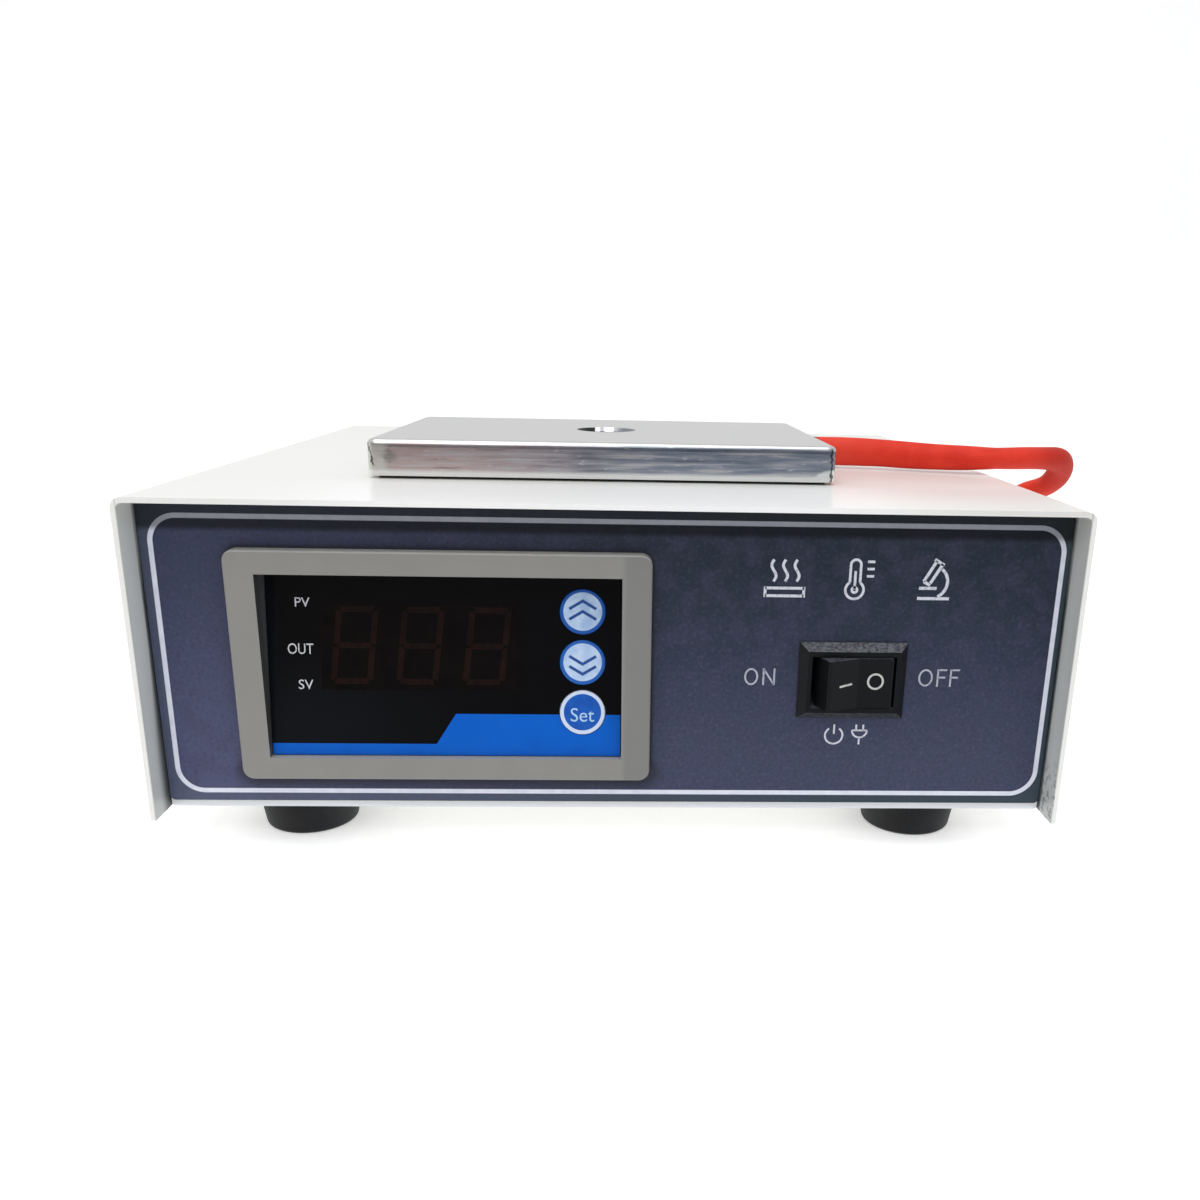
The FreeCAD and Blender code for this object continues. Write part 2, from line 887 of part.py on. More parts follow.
def inlet_pin_block(place, grow):
    front = rear_face - inlet_body_depth - inlet_tab_length
    back = rear_face + inlet_flange_thick - inlet_pin_stop
    return block(place.x - inlet_pin_thick / 2 - grow, place.x + inlet_pin_thick / 2 + grow,
                 front, back, place.z - inlet_pin_width / 2 - grow, place.z + inlet_pin_width / 2 + grow)


def make_inlet_pins():
    pins = []
    for place in inlet_pin_places():
        pin = inlet_pin_block(place, 0)
        back = rear_face + inlet_flange_thick - inlet_pin_stop
        pins.append(pin.makeChamfer(inlet_pin_edge, edges_at(pin, Y, back)))
    return Part.makeCompound(pins)


def make_inlet_screws():
    screws = []
    length = inlet_flange_thick + base_sheet + m3_radius * nut_height_ratio + thread_past_nut
    for place in inlet_hole_places():
        screws.append(pan_screw(m3_radius, length, place + Y * inlet_flange_thick, Y))
    return Part.makeCompound(screws)


def make_inlet_nuts():
    nuts = [hex_nut(m3_radius, place - Y * base_sheet, Y * -1) for place in inlet_hole_places()]
    return Part.makeCompound(nuts)


def make_fuse_holder():
    seat = Vector(fuse_x, rear_face, fuse_z)
    flange = rod(fuse_flange_radius, fuse_flange_thick, seat, Y)
    flange = flange.makeFillet(rear_edge, edges_at(flange, Y, rear_face + fuse_flange_thick))
    barrel = rod(fuse_body_radius, fuse_body_depth, seat, Y * -1)
    tip = seat - Y * fuse_body_depth
    tab = block(-slot_half, slot_half, -fuse_tab_length, 0, -fuse_tab_half, fuse_tab_half)
    tab.translate(tip)
    return flange.fuse(barrel).fuse(tab)


def make_fuse_cap():
    seat = Vector(fuse_x, rear_face + fuse_flange_thick, fuse_z)
    cap = rod(fuse_cap_radius, fuse_cap_height, seat, Y)
    top = rear_face + fuse_flange_thick + fuse_cap_height
    cap = cap.makeFillet(rear_edge, edges_at(cap, Y, top))
    reach = fuse_cap_radius * slot_reach_share
    slot = block(-reach, reach, -fuse_slot_depth, 1, -fuse_slot_width / 2, fuse_slot_width / 2)
    slot.translate(Vector(fuse_x, top, fuse_z))
    return cap.cut(slot)


def make_fuse_nut():
    seat = Vector(fuse_x, rear_inside, fuse_z)
    nut = hexagon(fuse_nut_radius * 2, fuse_nut_thick, seat, Y * -1)
    return nut.cut(rod(fuse_body_radius + hole_clearance, fuse_nut_thick, seat, Y * -1))


def make_rear_bushing():
    inner_end = -base_sheet - bushing_grip_length
    step_radius = bushing_nose_radius + bushing_step
    step_end = bushing_flange_thick + bushing_step
    profile = [
        Vector(bushing_bore, inner_end, 0),
        Vector(bushing_radius + bushing_grip, inner_end, 0),
        Vector(bushing_radius + bushing_grip, -base_sheet, 0),
        Vector(bushing_radius, -base_sheet, 0),
        Vector(bushing_radius, 0, 0),
        Vector(bushing_flange_radius, 0, 0),
        Vector(bushing_flange_radius, bushing_flange_thick, 0),
        Vector(step_radius, step_end, 0),
        Vector(bushing_nose_radius, bushing_nose, 0),
        Vector(bushing_bore, bushing_nose, 0),
    ]
    bushing = turned(profile, Vector(), Y)
    bushing.translate(Vector(bushing_x, rear_face, bushing_z))
    return bushing


# Transformer, terminal block and earth stud

def trafo_block(wide, deep, z0, z1):
    return block(trafo_x - wide / 2, trafo_x + wide / 2, trafo_y - deep / 2, trafo_y + deep / 2, z0, z1)


def make_core():
    core = trafo_block(core_width, core_stack, floor_top, floor_top + core_height)
    yoke = (core_height - core_window_height) / 2
    for side in (-1, 1):
        near = trafo_x + side * core_leg / 2
        far = near + side * core_window
        window = block(min(near, far), max(near, far), trafo_y - core_stack, trafo_y + core_stack,
                       floor_top + yoke, floor_top + yoke + core_window_height)
        core = core.cut(window)
    return core


def bobbin_levels():
    yoke = (core_height - core_window_height) / 2
    low = floor_top + yoke + bobbin_gap
    return low, low + core_window_height - bobbin_gap * 2


def make_bobbin():
    low, high = bobbin_levels()
    hole_x = core_leg + bobbin_gap * 2
    hole_y = core_stack + bobbin_gap * 2
    flange_x = core_leg + (core_window - bobbin_gap) * 2
    flange_y = bobbin_flange
    tube = trafo_block(hole_x + bobbin_wall * 2, hole_y + bobbin_wall * 2, low, high)
    lower = trafo_block(flange_x, flange_y, low, low + bobbin_wall)
    upper = trafo_block(flange_x, flange_y, high - bobbin_wall, high)
    bobbin = tube.fuse(lower).fuse(upper)
    return bobbin.cut(trafo_block(hole_x, hole_y, low - 1, high + 1)).removeSplitter()


def make_winding():
    low, high = bobbin_levels()
    low = low + bobbin_wall
    high = high - bobbin_wall
    inner_x = core_leg + bobbin_gap * 2 + bobbin_wall * 2
    inner_y = core_stack + bobbin_gap * 2 + bobbin_wall * 2
    outer_x = core_leg + (core_window - bobbin_gap) * 2 - winding_inset * 2
    outer_y = bobbin_flange - winding_inset * 2
    winding = trafo_block(outer_x, outer_y, low, high)
    winding = round_along(winding, Z, winding_corner)
    return winding.cut(trafo_block(inner_x, inner_y, low - 1, high + 1))


def make_strap():
    inner = core_width + strap_gap * 2
    outer = inner + strap_thick * 2
    top = floor_top + core_height + strap_thick
    strap = trafo_block(outer, core_stack, floor_top, top)
    strap = round_along(strap, Y, strap_thick * strap_bend_ratio, lambda c: c.z > top - 1)
    strap = strap.cut(trafo_block(inner, core_stack + 2, floor_top - 1, floor_top + core_height))
    ears = trafo_block(outer + strap_ear * 2, core_stack, floor_top, floor_top + strap_thick)
    ears = ears.cut(trafo_block(inner, core_stack + 2, floor_top - 1, floor_top + strap_thick + 1))
    strap = strap.fuse(ears).removeSplitter()
    for place in strap_hole_places():
        hole = rod(m4_radius + hole_clearance, strap_thick * 2, place + Z * base_sheet, Z)
        strap = strap.cut(hole)
    return strap


def make_strap_screws():
    length = base_sheet + strap_thick + m4_radius * nut_height_ratio + thread_past_nut
    return Part.makeCompound([pan_screw(m4_radius, length, place, Z * -1) for place in strap_hole_places()])


def block_wells():
    wells = []
    for step in range(block_ways):
        across = block_x + (step - (block_ways - 1) / 2) * block_way_pitch
        wells.append(Vector(across, block_y, floor_top + block_height))
    return wells


def make_terminal_block():
    body = block(block_x - block_length / 2, block_x + block_length / 2,
                 block_y - block_width / 2, block_y + block_width / 2, floor_top, floor_top + block_height)
    body = round_along(body, Z, block_corner)
    for well in block_wells():
        body = body.cut(rod(block_well_radius, block_well_depth, well, Z * -1))
        left = well.x - block_channel_half
        right = well.x + block_channel_half
        channel = block(left, right, block_y - block_width, block_y + block_width,
                        floor_top + block_channel_low, floor_top + block_channel_high)
        body = body.cut(channel)
    for place in block_hole_places():
        hole_depth = block_height * block_hole_share
        body = body.cut(rod(m3_radius + hole_clearance, hole_depth, place + Z * base_sheet, Z))
    return body


def make_block_terminals():
    screws = []
    for well in block_wells():
        seat = well - Z * block_well_depth
        height = block_well_depth * clamp_height_share
        screw = rod(block_well_radius - hole_clearance, height, seat, Z)
        reach = block_well_radius * slot_reach_share
        slot = block(-reach, reach, -slot_half, slot_half, 0, height)
        slot.translate(seat + Z * height / 2)
        screws.append(screw.cut(slot))
    return Part.makeCompound(screws)


def make_block_screws():
    length = base_sheet + block_height * block_thread_share
    return Part.makeCompound([pan_screw(m3_radius, length, place, Z * -1) for place in block_hole_places()])


def make_earth_screw():
    return pan_screw(m4_radius, base_sheet + earth_stud_length, Vector(earth_x, earth_y, underside), Z * -1)


def make_m4_nuts():
    # The same nut holds the feet, the transformer strap and the earth screw
    seats = [place + Z * floor_top for place in foot_places().values()]
    seats += [place + Z * (base_sheet + strap_thick) for place in strap_hole_places()]
    seats.append(Vector(earth_x, earth_y, floor_top))
    return Part.makeCompound([hex_nut(m4_radius, seat, Z) for seat in seats])


# Heated stage, drawn about its own middle and then turned and set on the cover

def stage_inner_half():
    return Vector(stage_width / 2 - stage_sheet, stage_depth / 2 - stage_sheet, 0)


def post_places():
    reach = stage_inner_half()
    places = []
    for side in (-1, 1):
        for end in (-1, 1):
            places.append(Vector(side * (reach.x - post_inset), end * (reach.y - post_inset), 0))
    return places


def make_stage_cover():
    half_x = stage_width / 2
    half_y = stage_depth / 2
    shell = block(-half_x, half_x, -half_y, half_y, stage_rim_gap, stage_height)
    shell = round_along(shell, Z, stage_corner)
    shell = shell.makeFillet(stage_edge, edges_at(shell, Z, stage_height))
    reach = stage_inner_half()
    hollow = block(-reach.x, reach.x, -reach.y, reach.y, stage_rim_gap - 1, stage_height - stage_sheet)
    hollow = round_along(hollow, Z, stage_corner - stage_sheet)
    shell = shell.cut(hollow)
    shell = shell.cut(rod(light_radius, stage_height, Vector(0, 0, 0), Z))
    bevel_start = Vector(0, 0, stage_height - light_bevel)
    shell = shell.cut(taper(light_radius, light_radius + light_bevel, light_bevel, bevel_start, Z))
    exit_hole = rod(exit_neck_radius + hole_clearance, stage_sheet * 2,
                    Vector(half_x - stage_sheet * 1.5, 0, exit_rise), X)
    return stage_place(shell.cut(exit_hole))


def make_light_tube():
    length = stage_height - stage_sheet
    tube = rod(light_radius + light_tube_wall, length, Vector(), Z)
    return stage_place(tube.cut(rod(light_radius, length, Vector(), Z)))


def tube_hole(z0, z1):
    return rod(light_radius + light_tube_wall + hole_clearance, z1 - z0, Vector(0, 0, z0), Z)


def make_stage_base():
    reach = stage_inner_half()
    half_x = reach.x - stage_fit
    half_y = reach.y - stage_fit
    plate = block(-half_x, half_x, -half_y, half_y, 0, stage_base_thick)
    plate = round_along(plate, Z, stage_corner)
    plate = plate.cut(tube_hole(0, stage_base_thick))
    for place in post_places():
        plate = plate.cut(rod(m3_radius + hole_clearance, stage_base_thick, place, Z))
        mouth_radius = m3_radius * head_ratio + hole_clearance
        plate = plate.cut(taper(mouth_radius, m3_radius + hole_clearance, countersink_depth, place, Z))
    return stage_place(plate)


def make_stage_screws():
    screws = []
    length = stage_base_thick + post_thread - countersink_depth
    for place in post_places():
        low = place + Z * countersink_sink
        head = taper(m3_radius * head_ratio, m3_radius, countersink_depth, low, Z)
        screw = head.fuse(rod(m3_radius, length, low + Z * countersink_depth, Z))
        half = countersink_slot_half
        slot = block(-m3_radius, m3_radius, -half, half, 0, countersink_slot_depth)
        slot.translate(place)
        screws.append(stage_place(screw.cut(slot)))
    return Part.makeCompound(screws)


def make_stage_posts():
    posts = []
    top = stage_height - stage_sheet
    for place in post_places():
        post = rod(post_radius, top - stage_base_thick, place + Z * stage_base_thick, Z)
        bore = rod(m3_radius + hole_clearance, post_bore_depth, place + Z * stage_base_thick, Z)
        posts.append(stage_place(post.cut(bore)))
    return Part.makeCompound(posts)


def heater_outline(z0, z1):
    reach = stage_inner_half()
    half_x = reach.x - heater_inset
    half_y = reach.y - heater_inset
    mat = block(-half_x, half_x, -half_y, half_y, z0, z1)
    mat = round_along(mat, Z, heater_corner)
    return mat.cut(tube_hole(z0, z1))


def make_heater():
    top = stage_height - stage_sheet
    return stage_place(heater_outline(top - heater_thick, top))


def sensor_centre():
    return Vector(sensor_x, 0, stage_height - stage_sheet - heater_thick - sensor_radius)


def make_insulation():
    top = stage_height - stage_sheet - heater_thick
    pad = heater_outline(stage_base_thick, top)
    start = sensor_centre() - X * sensor_end_gap
    half = sensor_radius + hole_clearance
    groove = block(start.x, stage_width / 2, -half, half, start.z - half, top)
    return stage_place(pad.cut(groove))


def make_sensor():
    probe = rod(sensor_radius, sensor_length, sensor_centre(), X)
    return stage_place(probe.makeFillet(sensor_round, edges_at(probe, X, sensor_x)))


def make_stage_bushing():
    start = Vector(stage_width / 2 - stage_sheet - exit_neck_inside, 0, exit_rise)
    neck_length = exit_neck_inside + stage_sheet
    neck = rod(exit_neck_radius, neck_length, start, X)
    flange = rod(exit_flange_radius, exit_flange_thick, Vector(stage_width / 2, 0, exit_rise), X)
    flange = flange.makeFillet(exit_flange_edge, edges_at(flange, X, stage_width / 2 + exit_flange_thick))
    bushing = neck.fuse(flange)
    bore = rod(exit_bore, neck_length + exit_flange_thick, start, X)
    return stage_place(bushing.cut(bore))


# Lead: a tube along straight runs and arcs, a coil, and a tube back to the box

def stage_point(x, y, z):
    return stage_frame().multVec(Vector(x, y, z))


def lead_route():
    face = stage_width / 2 + exit_flange_thick
    start = stage_point(face, 0, exit_rise)
    second = stage_point(face + lead_first_run, 0, exit_rise)
    coil_side = coil_x + coil_turn_radius
    run_end = coil_y - run_stub
    return [
        start,
        second,
        Vector(73.0, -23.0, 74.5),
        Vector(87.3, -25.8, 74.6),
        Vector(99.2, -24.6, 74.9),
        Vector(107.6, -19.8, 74.1),
        Vector(108.0, -12.4, 67.0),
        Vector(102.6, -5.6, 64.2),
        Vector(99.0, 6.5, 55.8),
        Vector(97.4, 23.0, 41.0),
        Vector(97.4, 42.5, 23.0),
        Vector(98.0, 59.5, 9.0),
        Vector(97.0, 75.0, coil_floor),
        Vector(coil_side + 2.6, 90.0, coil_floor),
        Vector(coil_side, run_end - 8.0, coil_floor),
        Vector(coil_side, run_end, coil_floor),
    ]


def tail_route():
    stub_end = Vector(bushing_x, coil_y - tail_stub, coil_upper + tail_slope * tail_stub)
    return [
        stub_end,
        stub_end + Vector(0, -8.0, 8.0 * tail_slope),
        Vector(bushing_x, bushing_end + 9.0, bushing_z),
        Vector(bushing_x, bushing_end, bushing_z),
    ]


def tube_path(points):
    edges = []
    radii = []
    last = points[0]
    for before, corner, after in zip(points, points[1:], points[2:]):
        way_in = corner - before
        way_out = after - corner
        turn = way_in.getAngle(way_out)
        shorter = min(way_in.Length, way_out.Length)
        radius = 0.45 * shorter / math.tan(turn / 2)
        radii.append(radius)
        way_in.normalize()
        way_out.normalize()
        cut = 0.45 * shorter
        arc_start = corner - way_in * cut
        arc_end = corner + way_out * cut
        bisector = way_out - way_in
        bisector.normalize()
        to_centre = radius / math.cos(turn / 2)
        arc_middle = corner + bisector * (to_centre - radius)
        edges.append(Part.LineSegment(last, arc_start).toShape())
        edges.append(Part.Arc(arc_start, arc_middle, arc_end).toShape())
        last = arc_end
    edges.append(Part.LineSegment(last, points[-1]).toShape())
    return Part.Wire(edges), radii


def make_lead_tube(name, points):
    path, radii = tube_path(points)
    direction = points[1] - points[0]
    ring = Part.Wire(Part.makeCircle(lead_radius, points[0], direction))
    tube = path.makePipeShell([ring], True, False)
    section = math.pi * lead_radius ** 2
    ratio = tube.Volume / (section * path.Length)
    print(name, "length", round(path.Length, 1), "volume ratio", round(ratio, 4))
    print(name, "radii", [round(radius, 1) for radius in radii])
    return tube


def make_coil():
    # The outer shape of the turns, with the straight starts of both ends
    low = coil_floor - lead_radius
    high = coil_upper + lead_radius
    outer = coil_turn_radius + lead_radius
    inner = coil_turn_radius - lead_radius
    profile = [
        Vector(inner + coil_round, 0, low),
        Vector(outer - coil_round, 0, low),
        Vector(outer, 0, low + coil_round),
        Vector(outer, 0, high - coil_round),
        Vector(outer - coil_round, 0, high),
        Vector(inner + coil_round, 0, high),
        Vector(inner, 0, high - coil_round),
        Vector(inner, 0, low + coil_round),
    ]
    coil = turned(profile, Vector(), Z)
    coil.translate(Vector(coil_x, coil_y, 0))
    for root, end in coil_stubs():
        coil = coil.fuse(rod(lead_radius, (root - end).Length, end, root - end))
    return coil


def coil_stubs():
    run_root = Vector(coil_x + coil_turn_radius, coil_y, coil_floor)
    tail_root = Vector(bushing_x, coil_y, coil_upper)
    return [(run_root, lead_route()[-1]), (tail_root, tail_route()[0])]


def make_lead_tie():
    # A flat band round the turns, at the side away from the box
    around = lead_radius + tie_gap
    half = tie_width / 2
    near = coil_y + math.sqrt((coil_turn_radius - lead_radius) ** 2 - half ** 2) - tie_gap
    far = coil_y + coil_turn_radius + around
    low = coil_floor - around
    high = coil_upper + around
    floor = low - tie_thick
    roof = high + tie_thick
    outside = block(coil_x - half, coil_x + half, near - tie_thick, far + tie_thick, floor, roof)
    inside = block(coil_x - half, coil_x + half, near, far, low, high)
    return outside.cut(inside)


def coil_length():
    return 2 * math.pi * coil_turn_radius * coil_turns + run_stub + tail_stub


# Build

keep("cover", make_cover())
keep("base", make_base())
keep("front_overlay", make_overlay())
keep("cover_screws", make_cover_screws())
for foot_name, foot_place in foot_places().items():
    keep(foot_name, make_foot(foot_place))
keep("foot_screws", make_foot_screws())

keep("controller_frame", make_controller_frame())
keep("controller_housing", make_controller_housing())
keep("controller_face", make_controller_face())
for key_row, key_name in enumerate(key_names):
    keep(key_name, make_key(key_row))
keep("key_switches", make_key_switches())
keep("controller_display", make_display())
keep("display_board", make_display_board())
keep("main_board", make_main_board())
keep("controller_relay", make_relay())
keep("controller_supply", make_supply())
keep("controller_capacitor", make_capacitor())
keep("controller_terminals", make_terminal_strip())
keep("controller_terminal_screws", make_strip_screws())
keep("controller_clips", make_clips())

keep("switch_body", make_switch_body())
keep("switch_rocker", make_rocker())
keep("switch_blades", make_switch_blades())

keep("inlet_body", make_inlet_body())
keep("inlet_pins", make_inlet_pins())
keep("inlet_screws", make_inlet_screws())
keep("inlet_nuts", make_inlet_nuts())
keep("fuse_holder", make_fuse_holder())
keep("fuse_cap", make_fuse_cap())
keep("fuse_nut", make_fuse_nut())
keep("rear_bushing", make_rear_bushing())

keep("transformer_core", make_core())
keep("transformer_bobbin", make_bobbin())
keep("transformer_winding", make_winding())
keep("transformer_strap", make_strap())
keep("transformer_screws", make_strap_screws())
keep("terminal_block", make_terminal_block())
keep("terminal_block_clamps", make_block_terminals())
keep("terminal_block_screws", make_block_screws())
keep("earth_screw", make_earth_screw())
keep("m4_nuts", make_m4_nuts())

keep("stage_cover", make_stage_cover())
keep("light_tube", make_light_tube())
keep("stage_base", make_stage_base())
keep("stage_screws", make_stage_screws())
keep("stage_posts", make_stage_posts())
keep("stage_heater", make_heater())
keep("stage_insulation", make_insulation())
keep("stage_sensor", make_sensor())
keep("stage_bushing", make_stage_bushing())

keep("lead_run", make_lead_tube("lead_run", lead_route()))
keep("lead_coil", make_coil())
keep("lead_tail", make_lead_tube("lead_tail", tail_route()))
keep("lead_tie", make_lead_tie())

for node_name, node_shape in nodes.items():
    node_shape.exportStep("parts/" + node_name + ".step")

print(len(nodes), "nodes")
print("coil length", round(coil_length(), 1))
whole = Part.makeCompound([shape for name, shape in nodes.items() if not name.startswith("lead_")])
print("box without the lead", whole.BoundBox)
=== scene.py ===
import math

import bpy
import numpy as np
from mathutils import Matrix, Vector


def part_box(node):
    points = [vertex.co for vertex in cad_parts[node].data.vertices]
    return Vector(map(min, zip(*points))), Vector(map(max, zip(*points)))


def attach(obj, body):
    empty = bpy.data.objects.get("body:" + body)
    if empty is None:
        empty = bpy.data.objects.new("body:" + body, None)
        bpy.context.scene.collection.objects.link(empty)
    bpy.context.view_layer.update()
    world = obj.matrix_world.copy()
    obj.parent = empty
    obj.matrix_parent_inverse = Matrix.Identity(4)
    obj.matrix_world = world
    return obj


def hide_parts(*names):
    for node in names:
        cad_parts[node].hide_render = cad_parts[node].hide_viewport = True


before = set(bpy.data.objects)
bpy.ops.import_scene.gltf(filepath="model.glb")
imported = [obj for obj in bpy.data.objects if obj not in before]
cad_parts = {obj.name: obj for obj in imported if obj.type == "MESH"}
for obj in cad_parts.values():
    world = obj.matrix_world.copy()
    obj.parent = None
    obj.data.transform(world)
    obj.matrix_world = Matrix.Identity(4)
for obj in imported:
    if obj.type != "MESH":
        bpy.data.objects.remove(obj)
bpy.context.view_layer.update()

# %% [markdown]
# # Microscope warm stage
# A heated aluminium plate lies on its control box. The box is two folded white sheets
# with a dark printed film, a small temperature controller and a rocker switch in front.
# A soft red lead leaves the plate, folds over beside the box and runs behind it.
#
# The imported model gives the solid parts. Below come the camera, the lead, the materials
# and the prints, each in a cell of its own.

mm = 0.001

# %% [markdown]
# ## Camera
# The camera stands a little left of the middle and looks down by 17 degrees, as in the photo.
# The photo is a crop, so the lens is shifted by about a twentieth of the picture's width.

# %% Camera
camera_place = Vector((2.147, -272.047, 98.633)) * mm
yaw, pitch, roll = -0.0430, 0.2955, 0.0218
focal_share = 1053.55 / 1200
sensor_width = 36.0

forward = Vector((-math.sin(yaw) * math.cos(pitch), math.cos(yaw) * math.cos(pitch), -math.sin(pitch)))
level_right = Vector((math.cos(yaw), math.sin(yaw), 0))
level_up = level_right.cross(forward)
right = math.cos(roll) * level_right + math.sin(roll) * level_up
up = math.cos(roll) * level_up - math.sin(roll) * level_right

camera_data = bpy.data.cameras.new("camera")
camera_data.sensor_width = sensor_width
camera_data.lens = sensor_width * focal_share
camera_data.shift_x = -0.0558
camera_data.shift_y = 0.0540
camera_data.clip_start = 0.01
camera_data.dof.use_dof = False
camera = bpy.data.objects.new("camera", camera_data)
camera.matrix_world = Matrix((
    (right.x, up.x, -forward.x, camera_place.x),
    (right.y, up.y, -forward.y, camera_place.y),
    (right.z, up.z, -forward.z, camera_place.z),
    (0, 0, 0, 1),
))
bpy.context.scene.collection.objects.link(camera)
bpy.context.scene.camera = camera
print("lens", round(camera_data.lens, 2), "mm")

# %% [markdown]
# ## Lead
# One line goes from the plate over the fold, down and back along the box, two and a half
# times round the coil and up into the rear bushing. It is a quadratic spline, so the
# turns need 14 points each, a little outside the circle that the spline follows.

# %% The lead's line
run_points = [
    (47.6, -17.43, 74.95), (59.6, -17.38, 74.95), (73.0, -23.0, 74.5), (87.3, -25.8, 74.6),
    (99.2, -24.6, 74.9), (107.6, -19.8, 74.1), (108.0, -12.4, 67.0), (102.6, -5.6, 64.2),
    (99.0, 6.5, 55.8), (97.4, 23.0, 41.0), (97.4, 42.5, 23.0), (98.0, 59.5, 9.0),
    (97.0, 75.0, 3.6), (92.6, 90.0, 3.6), (90.0, 101.6, 3.6), (90.0, 109.6, 3.6),
]
coil_middle = (57.0, 131.6)
coil_radius = 33.0
coil_low = 3.6
coil_climb = 5.8
points_per_turn = 14
half_step = math.pi / points_per_turn


def coil_height(angle):
    height = coil_low
    for start in (math.pi, 3 * math.pi):
        share = min(max((angle - start - 0.3) / (math.pi - 0.9), 0), 1)
        height += coil_climb * share * share * (3 - 2 * share)
    return height


coil_points = []
for step in range(int(2.5 * points_per_turn) + 2):
    angle = (2 * step - 1) * half_step
    radius = coil_radius / math.cos(half_step)
    coil_points.append((
        coil_middle[0] + radius * math.cos(angle),
        coil_middle[1] + radius * math.sin(angle),
        coil_height(angle),
    ))
tail_points = [(24.0, 111.6, 17.6), (24.0, 103.6, 18.56), (24.0, 91.5, 22.0), (24.0, 82.5, 22.0)]

route = run_points + coil_points + tail_points
line_data = bpy.data.curves.new("lead_line", "CURVE")
line_data.dimensions = "3D"
line_data.resolution_u = 12
spline = line_data.splines.new("NURBS")
spline.points.add(len(route) - 1)
for point, place in zip(spline.points, route):
    point.co = (place[0] * mm, place[1] * mm, place[2] * mm, 1)
spline.order_u = 3
spline.use_endpoint_u = True
line = bpy.data.objects.new("lead_line", line_data)
bpy.context.scene.collection.objects.link(line)
line_mesh = bpy.data.meshes.new_from_object(line)
path = np.empty(len(line_mesh.vertices) * 3)
line_mesh.vertices.foreach_get("co", path)
path = path.reshape(-1, 3)
bpy.data.objects.remove(line)
steps = np.linalg.norm(np.diff(path, axis=0), axis=1)
along = np.concatenate([[0], np.cumsum(steps)])
print("lead", len(path), "points,", round(along[-1], 4), "m")

# %% [markdown]
# ## Small tools
# The mesh tool takes points in metres, so every piece has its place in its mesh.
# The node tools keep the materials short: one adds a node, and the rest name what they add.
# A fade is a soft step between two places in millimetres, and a stain lays a colour over it.

# %% Mesh tools
def make_piece(name, points, faces, material, body="box", smooth=False):
    mesh = bpy.data.meshes.new(name)
    mesh.from_pydata(np.asarray(points).tolist(), [], faces)
    mesh.polygons.foreach_set("use_smooth", [smooth] * len(mesh.polygons))
    mesh.materials.append(material)
    mesh.update()
    piece = bpy.data.objects.new(name, mesh)
    bpy.context.scene.collection.objects.link(piece)
    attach(piece, body)
    return piece


def ribbon(points, width, base=0):
    points = np.asarray(points, float)
    closed = bool(np.allclose(points[0], points[-1]))
    ways = np.diff(points, axis=0)
    ways /= np.linalg.norm(ways, axis=1)[:, None]
    before = np.vstack([ways[-1:] if closed else ways[:1], ways])
    after = np.vstack([ways, ways[:1] if closed else ways[-1:]])
    middle = before + after
    middle /= np.linalg.norm(middle, axis=1)[:, None]
    across = np.column_stack([-middle[:, 1], middle[:, 0]])
    reach = width / 2 / np.maximum((middle * after).sum(axis=1), 0.5)
    outer = points + across * reach[:, None]
    inner = points - across * reach[:, None]
    count = len(points)
    faces = [(base + i, base + count + i, base + count + i + 1, base + i + 1) for i in range(count - 1)]
    return np.vstack([outer, inner]), faces


def ring(x, y, radius, start=0, end=360, count=36):
    angles = np.radians(np.linspace(start, end, count + 1))
    return np.column_stack([x + radius * np.cos(angles), y + radius * np.sin(angles)])


def oval(x, y, half_width, half_height):
    return ring(0, 0, 1) * [half_width, half_height] + [x, y]


def strokes(lines, width):
    points, faces = np.empty((0, 2)), []
    for one in lines:
        more, quads = ribbon(one, width, len(points))
        points = np.vstack([points, more])
        faces += quads
    return points, faces


def letters(text, width, height, x, y):
    data = bpy.data.curves.new("text", "FONT")
    data.body = text
    data.resolution_u = 4
    thing = bpy.data.objects.new("text", data)
    bpy.context.scene.collection.objects.link(thing)
    mesh = bpy.data.meshes.new_from_object(thing)
    points = np.empty(len(mesh.vertices) * 3)
    mesh.vertices.foreach_get("co", points)
    faces = [tuple(face.vertices) for face in mesh.polygons]
    bpy.data.objects.remove(thing)
    points = points.reshape(-1, 3)[:, :2]
    low, high = points.min(axis=0), points.max(axis=0)
    points = (points - (low + high) / 2) * np.array([width, height]) / (high - low)
    return points + np.array([x, y]), faces


def on_plane(points, origin, side, rise):
    flat = np.asarray(points)
    place = np.asarray(origin) + flat[:, :1] * np.asarray(side) + flat[:, 1:2] * np.asarray(rise)
    return place * mm


print("mesh tools ready")

# %% Node tools
def add(tree, kind, settings=None, values=None):
    node = tree.nodes.new(kind)
    for key, value in (settings or {}).items():
        setattr(node, key, value)
    for key, value in (values or {}).items():
        if isinstance(value, bpy.types.NodeSocket):
            tree.links.new(value, node.inputs[key])
        else:
            node.inputs[key].default_value = value
    return node


def colour(code):
    parts = [int(code[i:i + 2], 16) / 255 for i in (1, 3, 5)]
    parts = [p / 12.92 if p <= 0.04045 else ((p + 0.055) / 1.055) ** 2.4 for p in parts]
    return (*parts, 1.0)


def calc(tree, operation, a, b=0.0):
    return add(tree, "ShaderNodeMath", {"operation": operation}, {0: a, 1: b}).outputs[0]


def plus(tree, a, b):
    return calc(tree, "ADD", a, b)


def minus(tree, a, b):
    return calc(tree, "SUBTRACT", a, b)


def times(tree, a, b):
    return calc(tree, "MULTIPLY", a, b)


def far_from(tree, value, centre):
    return calc(tree, "ABSOLUTE", minus(tree, value, centre * mm))


